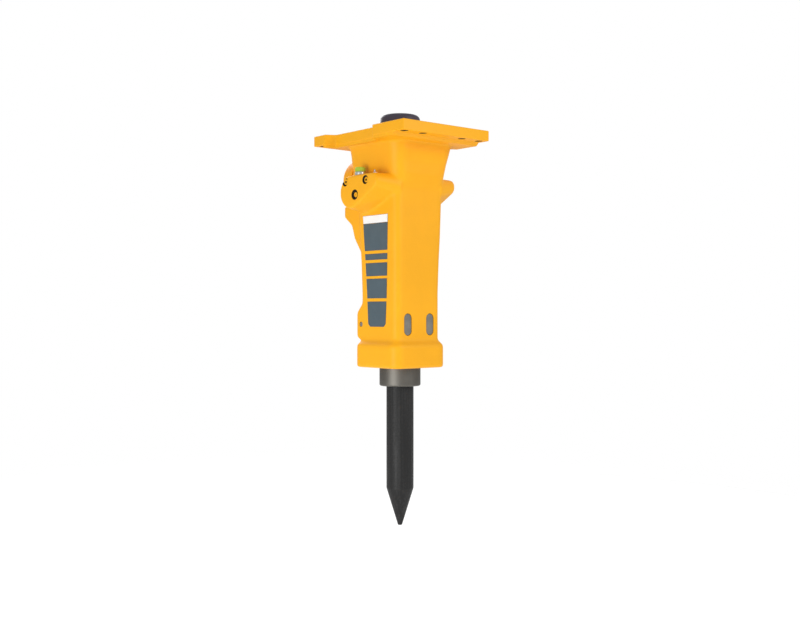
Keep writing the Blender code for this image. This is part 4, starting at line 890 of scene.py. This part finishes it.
for label, side in SIDES.items():
    for number in (1, 2, 3):
        socket_plug(f"gallery_plug_{label}_{number}", number, side)

# %% [markdown]
# ## Port fittings
# Each oil port has a plated adapter and, for transport, a bright plastic cap. A cap has grip ribs so
# that a gloved hand can pull it. Ribs repeat round a circle, which is a job for Geometry Nodes: one
# rib, placed on the points of a circle and turned to face outward.

# %% A ring of copies
def ring_tree():
    """Copies of an object on a circle round Z, each turned with its point."""
    tree = bpy.data.node_groups.new("ring_of_copies", "GeometryNodeTree")
    tree_sockets(tree, [("Copy", "NodeSocketObject", None), ("Count", "NodeSocketInt", 6),
                        ("Radius", "NodeSocketFloat", 0.05), ("Turn", "NodeSocketFloat", 0.0),
                        ("Finish", "NodeSocketMaterial", None)])
    add = tree.nodes.new
    start, end = add("NodeGroupInput"), add("NodeGroupOutput")
    ring, info = add("GeometryNodeMeshCircle"), add("GeometryNodeObjectInfo")
    index, angle, offset = add("GeometryNodeInputIndex"), add("ShaderNodeMath"), add("ShaderNodeMath")
    share, turn_ring = add("ShaderNodeMath"), add("GeometryNodeTransform")
    turn, whole_turn = add("ShaderNodeCombineXYZ"), add("ShaderNodeCombineXYZ")
    place, realize, paint = (add(f"GeometryNode{kind}") for kind in
                             ("InstanceOnPoints", "RealizeInstances", "SetMaterial"))
    share.operation, angle.operation, offset.operation = "DIVIDE", "MULTIPLY", "ADD"
    share.inputs[0].default_value = math.tau
    wire_up(tree, (start, "Count", ring, "Vertices"), (start, "Radius", ring, "Radius"),
            (start, "Count", share, 1), (share, 0, angle, 0), (index, 0, angle, 1), (angle, 0, offset, 0),
            (start, "Turn", offset, 1), (offset, 0, turn, "Z"), (start, "Turn", whole_turn, "Z"),
            (ring, 0, turn_ring, "Geometry"), (whole_turn, 0, turn_ring, "Rotation"),
            (turn_ring, 0, place, "Points"), (start, "Copy", info, "Object"),
            (info, "Geometry", place, "Instance"), (turn, 0, place, "Rotation"), (place, 0, realize, 0),
            (realize, 0, paint, "Geometry"), (start, "Finish", paint, "Material"), (paint, 0, end, "Geometry"))
    return tree


RING = ring_tree()


def ring_of(mesh, count, radius, turn, finish, axis="+Z", at=(0, 0, 0)):
    """count copies of a mesh on a circle, as one plain mesh."""
    copy = thing("copy", mesh)
    made = thing("ring", bpy.data.meshes.new("ring"))
    modifier = made.modifiers.new("ring", "NODES")
    modifier.node_group = RING
    set_inputs(modifier, {"Copy": copy, "Count": count, "Radius": radius, "Turn": turn, "Finish": finish})
    result = evaluated(made)
    bpy.data.objects.remove(copy)
    result.transform(along(axis, at))
    return result


# %% Adapters, seals and ribbed caps
CAP_RIBS = 24
for label, side in SIDES.items():
    centre = middle(f"port_adapter_{label}")
    at = (centre.x, centre.y, 0)
    low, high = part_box(f"port_adapter_{label}")
    seal_high_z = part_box(f"port_seal_{label}")[1][2]
    base = seal_high_z + FIT
    adapter = turned([(0.0160, low[2], 0.001), (0.0160, base), (0.0185, base, 0.0006),
                      (0.0185, base + 0.0095, 0.0012), (0.0130, base + 0.0095, 0.0008), (0.0130, high[2], 0.0008),
                      (0.0090, high[2], 0.0006), (0.0090, low[2])], at=at, sides=64)
    hexagon = plate(circle(0.0190, 6), base + 0.0004, base + 0.0088, at=at, edge=0.0010)
    hexagon = cut(hexagon, rod(0.0150, base - REACH, base + 0.030, at=at))
    piece(f"port_adapter_{label}_plated", merged(adapter, hexagon), "bright_steel", ZINC,
          stands_for=[f"port_adapter_{label}"])
    low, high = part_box(f"port_cap_{label}")
    radius = radius_of(f"port_cap_{label}") - 0.0007
    cap = turned([(0.0135, low[2], 0.0004), (radius - 0.0005, low[2], 0.0008), (radius, low[2] + 0.002, 0.0005),
                  (radius, high[2], 0.0028), (0.0070, high[2]), (0.0064, high[2] - 0.0006),
                  (0, high[2] - 0.0006), (0, high[2] - 0.0040), (0.0135, high[2] - 0.0040, 0.0008)],
                 at=at, sides=72)
    rib = plate(rectangle(0.0007, 0.0009, 0.0005, steps=3), low[2] + 0.0018, high[2] - 0.0035, edge=0.0005)
    ribs = ring_of(rib, CAP_RIBS, radius, 0.0, LIME, at=at)
    piece(f"port_cap_{label}_ribbed", merged(cap, ribs), "lime_plastic", LIME, stands_for=[f"port_cap_{label}"])

# %% The grease nipple
low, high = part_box("grease_nipple")
nipple = middle("grease_nipple")
top = high[2]
lift = BOSS_TOP + 0.0004
fitting = turned([(0, low[2]), (0.0049, low[2]), (0.0049, lift), (0.0030, lift), (0.0030, top - 0.0070, 0.0005),
                  (0.0042, top - 0.0035, 0.0008), (0.0030, top, 0.0012), (0, top)],
                 at=(nipple.x, nipple.y, 0), sides=32)
nut = plate(circle(0.0072, 6), lift, BOSS_TOP + 0.0058, at=(nipple.x, nipple.y, 0), edge=0.0008)
piece("grease_nipple_plated", merged(fitting, nut), "bright_steel", ZINC, stands_for=["grease_nipple"])

# %% [markdown]
# ## Accumulator and control valve
# The accumulator cover clamps a rubber diaphragm on the back of the body with a ring of screws, and
# the valve's cover has a row of four. One socket screw is modelled with a chamfered head and a real
# hexagon, and Geometry Nodes set it round the circle.

# %% One socket screw
SCREW_HEAD, HEAD_HIGH, SHANK = 0.0095, 0.0080, 0.0060


def socket_screw(length):
    """Socket screw along +Z with the underside of its head at 0."""
    screw = turned([(0, -length), (SHANK, -length, 0.0008), (SHANK, FIT), (SCREW_HEAD, FIT, 0.0003),
                    (SCREW_HEAD, HEAD_HIGH, 0.0008), (0, HEAD_HIGH)], sides=40)
    return cut(screw, plate(circle(0.0050, 6), HEAD_HIGH * 0.4, HEAD_HIGH + REACH))


# %% The accumulator's cover and screws
bolts = sorted(name for name in nodes if name.startswith("accumulator_bolt_"))
seat_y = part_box(bolts[0])[1][1] - HEAD_HIGH
length = seat_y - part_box(bolts[0])[0][1]
spot = middle(bolts[0]) - ACCUMULATOR
circle_radius = math.hypot(spot.x, spot.z)
first = math.atan2(spot.z, -spot.x)
cover_low, cover_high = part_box("accumulator_cover")
back, front = cover_high[1], cover_low[1]
RIM, DISH = 0.0565, 0.050
cover = turned([
    (RIM, front + 0.0033), (RIM, front), (ACCUMULATOR_RADIUS, front, 0.0010), (ACCUMULATOR_RADIUS, back, 0.0060),
    (0.040, back, 0.0040), (0.034, back - 0.0030, 0.0040), (0.020, back - 0.0030, 0.0030), (0.018, back, 0.0015),
    (0.0090, back, 0.0004), (0.0090, back - 0.016), (0.032, back - 0.016), (DISH, front + 0.014),
    (DISH, front + 0.0033)], "+Y", (0, 0, ACCUMULATOR.z), 128)
seats = stepped(-0.060, [(SHANK + FIT, 0), (SCREW_HEAD + 0.0006, 0.030)], sides=40)
seats = ring_of(seats, len(bolts), circle_radius, first, YELLOW, "+Y", (0, seat_y, ACCUMULATOR.z))
cover = cut(cover, seats)
piece("accumulator_cover_turned", cover, "yellow_paint", YELLOW, stands_for=["accumulator_cover"])
screws = ring_of(socket_screw(length), len(bolts), circle_radius, first, SCREW_BLACK, "+Y",
                 (0, seat_y, ACCUMULATOR.z))
piece("accumulator_screws", screws, "black_steel", SCREW_BLACK, stands_for=bolts)
low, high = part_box("charge_valve")
charge = filling_valve((low[1], back, high[1]), 0.0086, 0.0140, 0.0005, 0.0012, "+Y", (0, 0, ACCUMULATOR.z))
piece("charge_valve_turned", charge, "bright_steel", ZINC, stands_for=["charge_valve"])

# %% The control valve's cover and screws
bolts = sorted(name for name in nodes if name.startswith("valve_bolt_"))
low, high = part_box("valve_cover")
half_x, half_z = radius_of("valve_cover"), radius_of("valve_cover", "z")
cover = plate(rectangle(half_x, half_z, 0.010, steps=8), low[1], high[1], "+Y", (0, 0, VALVE.z), edge=0.0025)
holes = [rod(SHANK + FIT, low[1] - REACH, high[1] + REACH, "+Y", (middle(node).x, 0, VALVE.z), 32)
         for node in bolts]
piece("valve_cover_milled", cut(cover, merged(*holes)), "yellow_paint", YELLOW, stands_for=["valve_cover"])
for node in bolts:
    seat_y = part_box(node)[1][1] - HEAD_HIGH
    screw = socket_screw(seat_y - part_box(node)[0][1])
    screw.transform(along("+Y", (middle(node).x, seat_y, VALVE.z)))
    piece(f"{node}_screw", screw, "black_steel", SCREW_BLACK, stands_for=[node])

# %% [markdown]
# ## Side decals
# Each side wears a tapering stack of film panels, white at the top and blue-grey below, with the paint
# showing between them. The panels are left blank. They are thin films that follow the barrel's slope,
# so each is a narrow loft from its own top edge to its own bottom edge.

# %% Film panels
DECAL_LOW, DECAL_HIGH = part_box("decal_left")
DECAL_MIDDLE_Y = (DECAL_LOW[1] + DECAL_HIGH[1]) / 2
TOP_HALF, BOTTOM_HALF = (DECAL_HIGH[1] - DECAL_LOW[1]) / 2, 0.047
PANELS = [(-0.2900, -0.3180), (-0.3186, -0.4120), (-0.4230, -0.4440), (-0.4545, -0.5000), (-0.5090, -0.5770),
          (-0.5880, DECAL_LOW[2])]
FILM = 0.0005
CHAMFER = 0.010


def panel_half(height):
    share = (height - DECAL_LOW[2]) / (DECAL_HIGH[2] - DECAL_LOW[2])
    return BOTTOM_HALF + (TOP_HALF - BOTTOM_HALF) * share


def panel(side, top, bottom, lift, margin=0.0):
    """One film between two heights, inset by margin, lifted off the paint by lift."""
    heights = [top - margin, *[level for level in LEVELS[:, 0] if bottom + CHAMFER < level < top - margin - 0.002]]
    last = bottom == DECAL_LOW[2]
    heights += [bottom + CHAMFER] if last else []
    heights.append(bottom + margin)
    sections = []
    for height in heights:
        half = panel_half(height) - margin - (CHAMFER if last and height == heights[-1] else 0)
        near = side * (side_of_barrel(height) + lift)
        far = near + side * FILM
        sections.append([(near, DECAL_MIDDLE_Y - half, height), (far, DECAL_MIDDLE_Y - half, height),
                         (far, DECAL_MIDDLE_Y + half, height), (near, DECAL_MIDDLE_Y + half, height)])
    return loft(sections)


for label, side in SIDES.items():
    backing = [panel(side, top, bottom, 0.0002) for top, bottom in PANELS]
    films = [panel(side, top, bottom, 0.0004, 0.0008) for top, bottom in PANELS]
    mesh = merged(*backing, *films)
    made = piece(f"decal_{label}_film", mesh, "decal_film", DECAL_BLUE, DECAL_WHITE, DECAL_EDGE,
                 stands_for=[f"decal_{label}"])
    backs = sum(len(back.polygons) for back in backing)
    white = backs + len(films[0].polygons)
    for polygon in mesh.polygons:
        polygon.material_index = 2 if polygon.index < backs else 1 if polygon.index < white else 0

# %% [markdown]
# ## Inner pieces
# The piston, its liner, the seals and the pins are out of sight until someone takes the breaker apart.
# Their CAD shapes are right, so they stay and only get their finish.

# %% Finishes for the CAD nodes that stay
BY_SLOT = {"yellow_paint": YELLOW, "dark_paint": HEAD_GREY, "tool_steel": TOOL_BLACK, "bush_steel": BUSH_STEEL,
           "bright_steel": GROUND_STEEL, "black_steel": SCREW_BLACK, "grey_rubber": PLUG_RUBBER,
           "black_rubber": SEAL_RUBBER, "lime_plastic": LIME, "decal_film": DECAL_BLUE}
slot_of = {row["node"]: row["material_slot"] for row in frame["record"]["subparts"]}
for name, node in nodes.items():
    for holder in node.material_slots:
        holder.material = BY_SLOT[slot_of[name]]

# %% [markdown]
# ## Stage
# The breaker hangs just clear of a pale floor, as it would from a crane for its portrait. The floor
# fades out into a white surround, so there is no horizon. Big soft lights do the modelling: a broad
# key before the front face, a low fill on the left and a rim light behind. The white surround does
# the rest.

# %% The floor
FLOOR_GAP = 0.16
FLOOR_RADIUS = 7.0
floor_height = cad_bounds[0][2] - FLOOR_GAP
disc = bmesh.new()
bmesh.ops.create_circle(disc, cap_ends=True, segments=96, radius=FLOOR_RADIUS)
bmesh.ops.translate(disc, verts=disc.verts, vec=(0, 0, floor_height))
floor_mesh = bpy.data.meshes.new("floor")
disc.to_mesh(floor_mesh)
disc.free()
pale = Surface("pale_floor", (0.90, 0.90, 0.90), 0.75)
flat = pale.node("ShaderNodeVectorMath", {"operation": "MULTIPLY"}, {0: pale.place, 1: (1, 1, 0)})
distance = pale.node("ShaderNodeVectorMath", {"operation": "LENGTH"}, {0: flat}, output="Value")
pale.feed("Alpha", 1.0 - distance.sharpen(0.9, 3.2))
pale.feed("Emission Color", (1.0, 1.0, 1.0, 1.0))
pale.feed("Emission Strength", 0.30)
floor = thing("studio_floor", floor_mesh, pale.material)

# %% Lights and surround
def soft_light(name, at, size, power, colour=(1, 1, 1)):
    lamp = bpy.data.lights.new(name, "AREA")
    lamp.shape, lamp.size, lamp.energy, lamp.color = "DISK", size, power, colour
    holder = bpy.data.objects.new(name, lamp)
    holder.location = at
    holder.rotation_euler = (Vector((0, 0, -0.6)) - Vector(at)).to_track_quat("-Z", "Y").to_euler()
    bpy.context.collection.objects.link(holder)


soft_light("key", (0.9, -3.0, 0.7), 2.0, 42)
soft_light("fill", (-2.6, -0.6, -1.0), 1.6, 34)
soft_light("rim", (1.0, 3.4, 1.4), 2.0, 60)
world = bpy.data.worlds.new("white_surround")
world.use_nodes = True
bpy.context.scene.world = world
ground = world.node_tree.nodes["Background"]
glow = world.node_tree.nodes.new("ShaderNodeBackground")
ground.inputs["Color"].default_value = (1, 1, 1, 1)
ground.inputs["Strength"].default_value = 0.55
glow.inputs["Color"].default_value = (1, 1, 1, 1)
ray = world.node_tree.nodes.new("ShaderNodeLightPath")
either = world.node_tree.nodes.new("ShaderNodeMixShader")
wire_up(world.node_tree, (ray, "Is Camera Ray", either, 0), (ground, 0, either, 1), (glow, 0, either, 2),
        (either, 0, world.node_tree.nodes["World Output"], "Surface"))
bpy.context.scene.view_settings.view_transform = "Standard"

# %% The camera
CAMERA_TURN = math.radians(40.21)
CAMERA_DISTANCE = 3.7616
CAMERA_HEIGHT = -0.6219
SENSOR, LENS, SHIFT_Y = 36.0, 48.28, -0.0108
lens = bpy.data.cameras.new("camera")
lens.sensor_width, lens.lens, lens.shift_y = SENSOR, LENS, SHIFT_Y
camera = bpy.data.objects.new("camera", lens)
camera.location = (-CAMERA_DISTANCE * math.sin(CAMERA_TURN), -CAMERA_DISTANCE * math.cos(CAMERA_TURN), CAMERA_HEIGHT)
camera.rotation_euler = (math.pi / 2, 0, -CAMERA_TURN)
bpy.context.collection.objects.link(camera)
bpy.context.scene.camera = camera
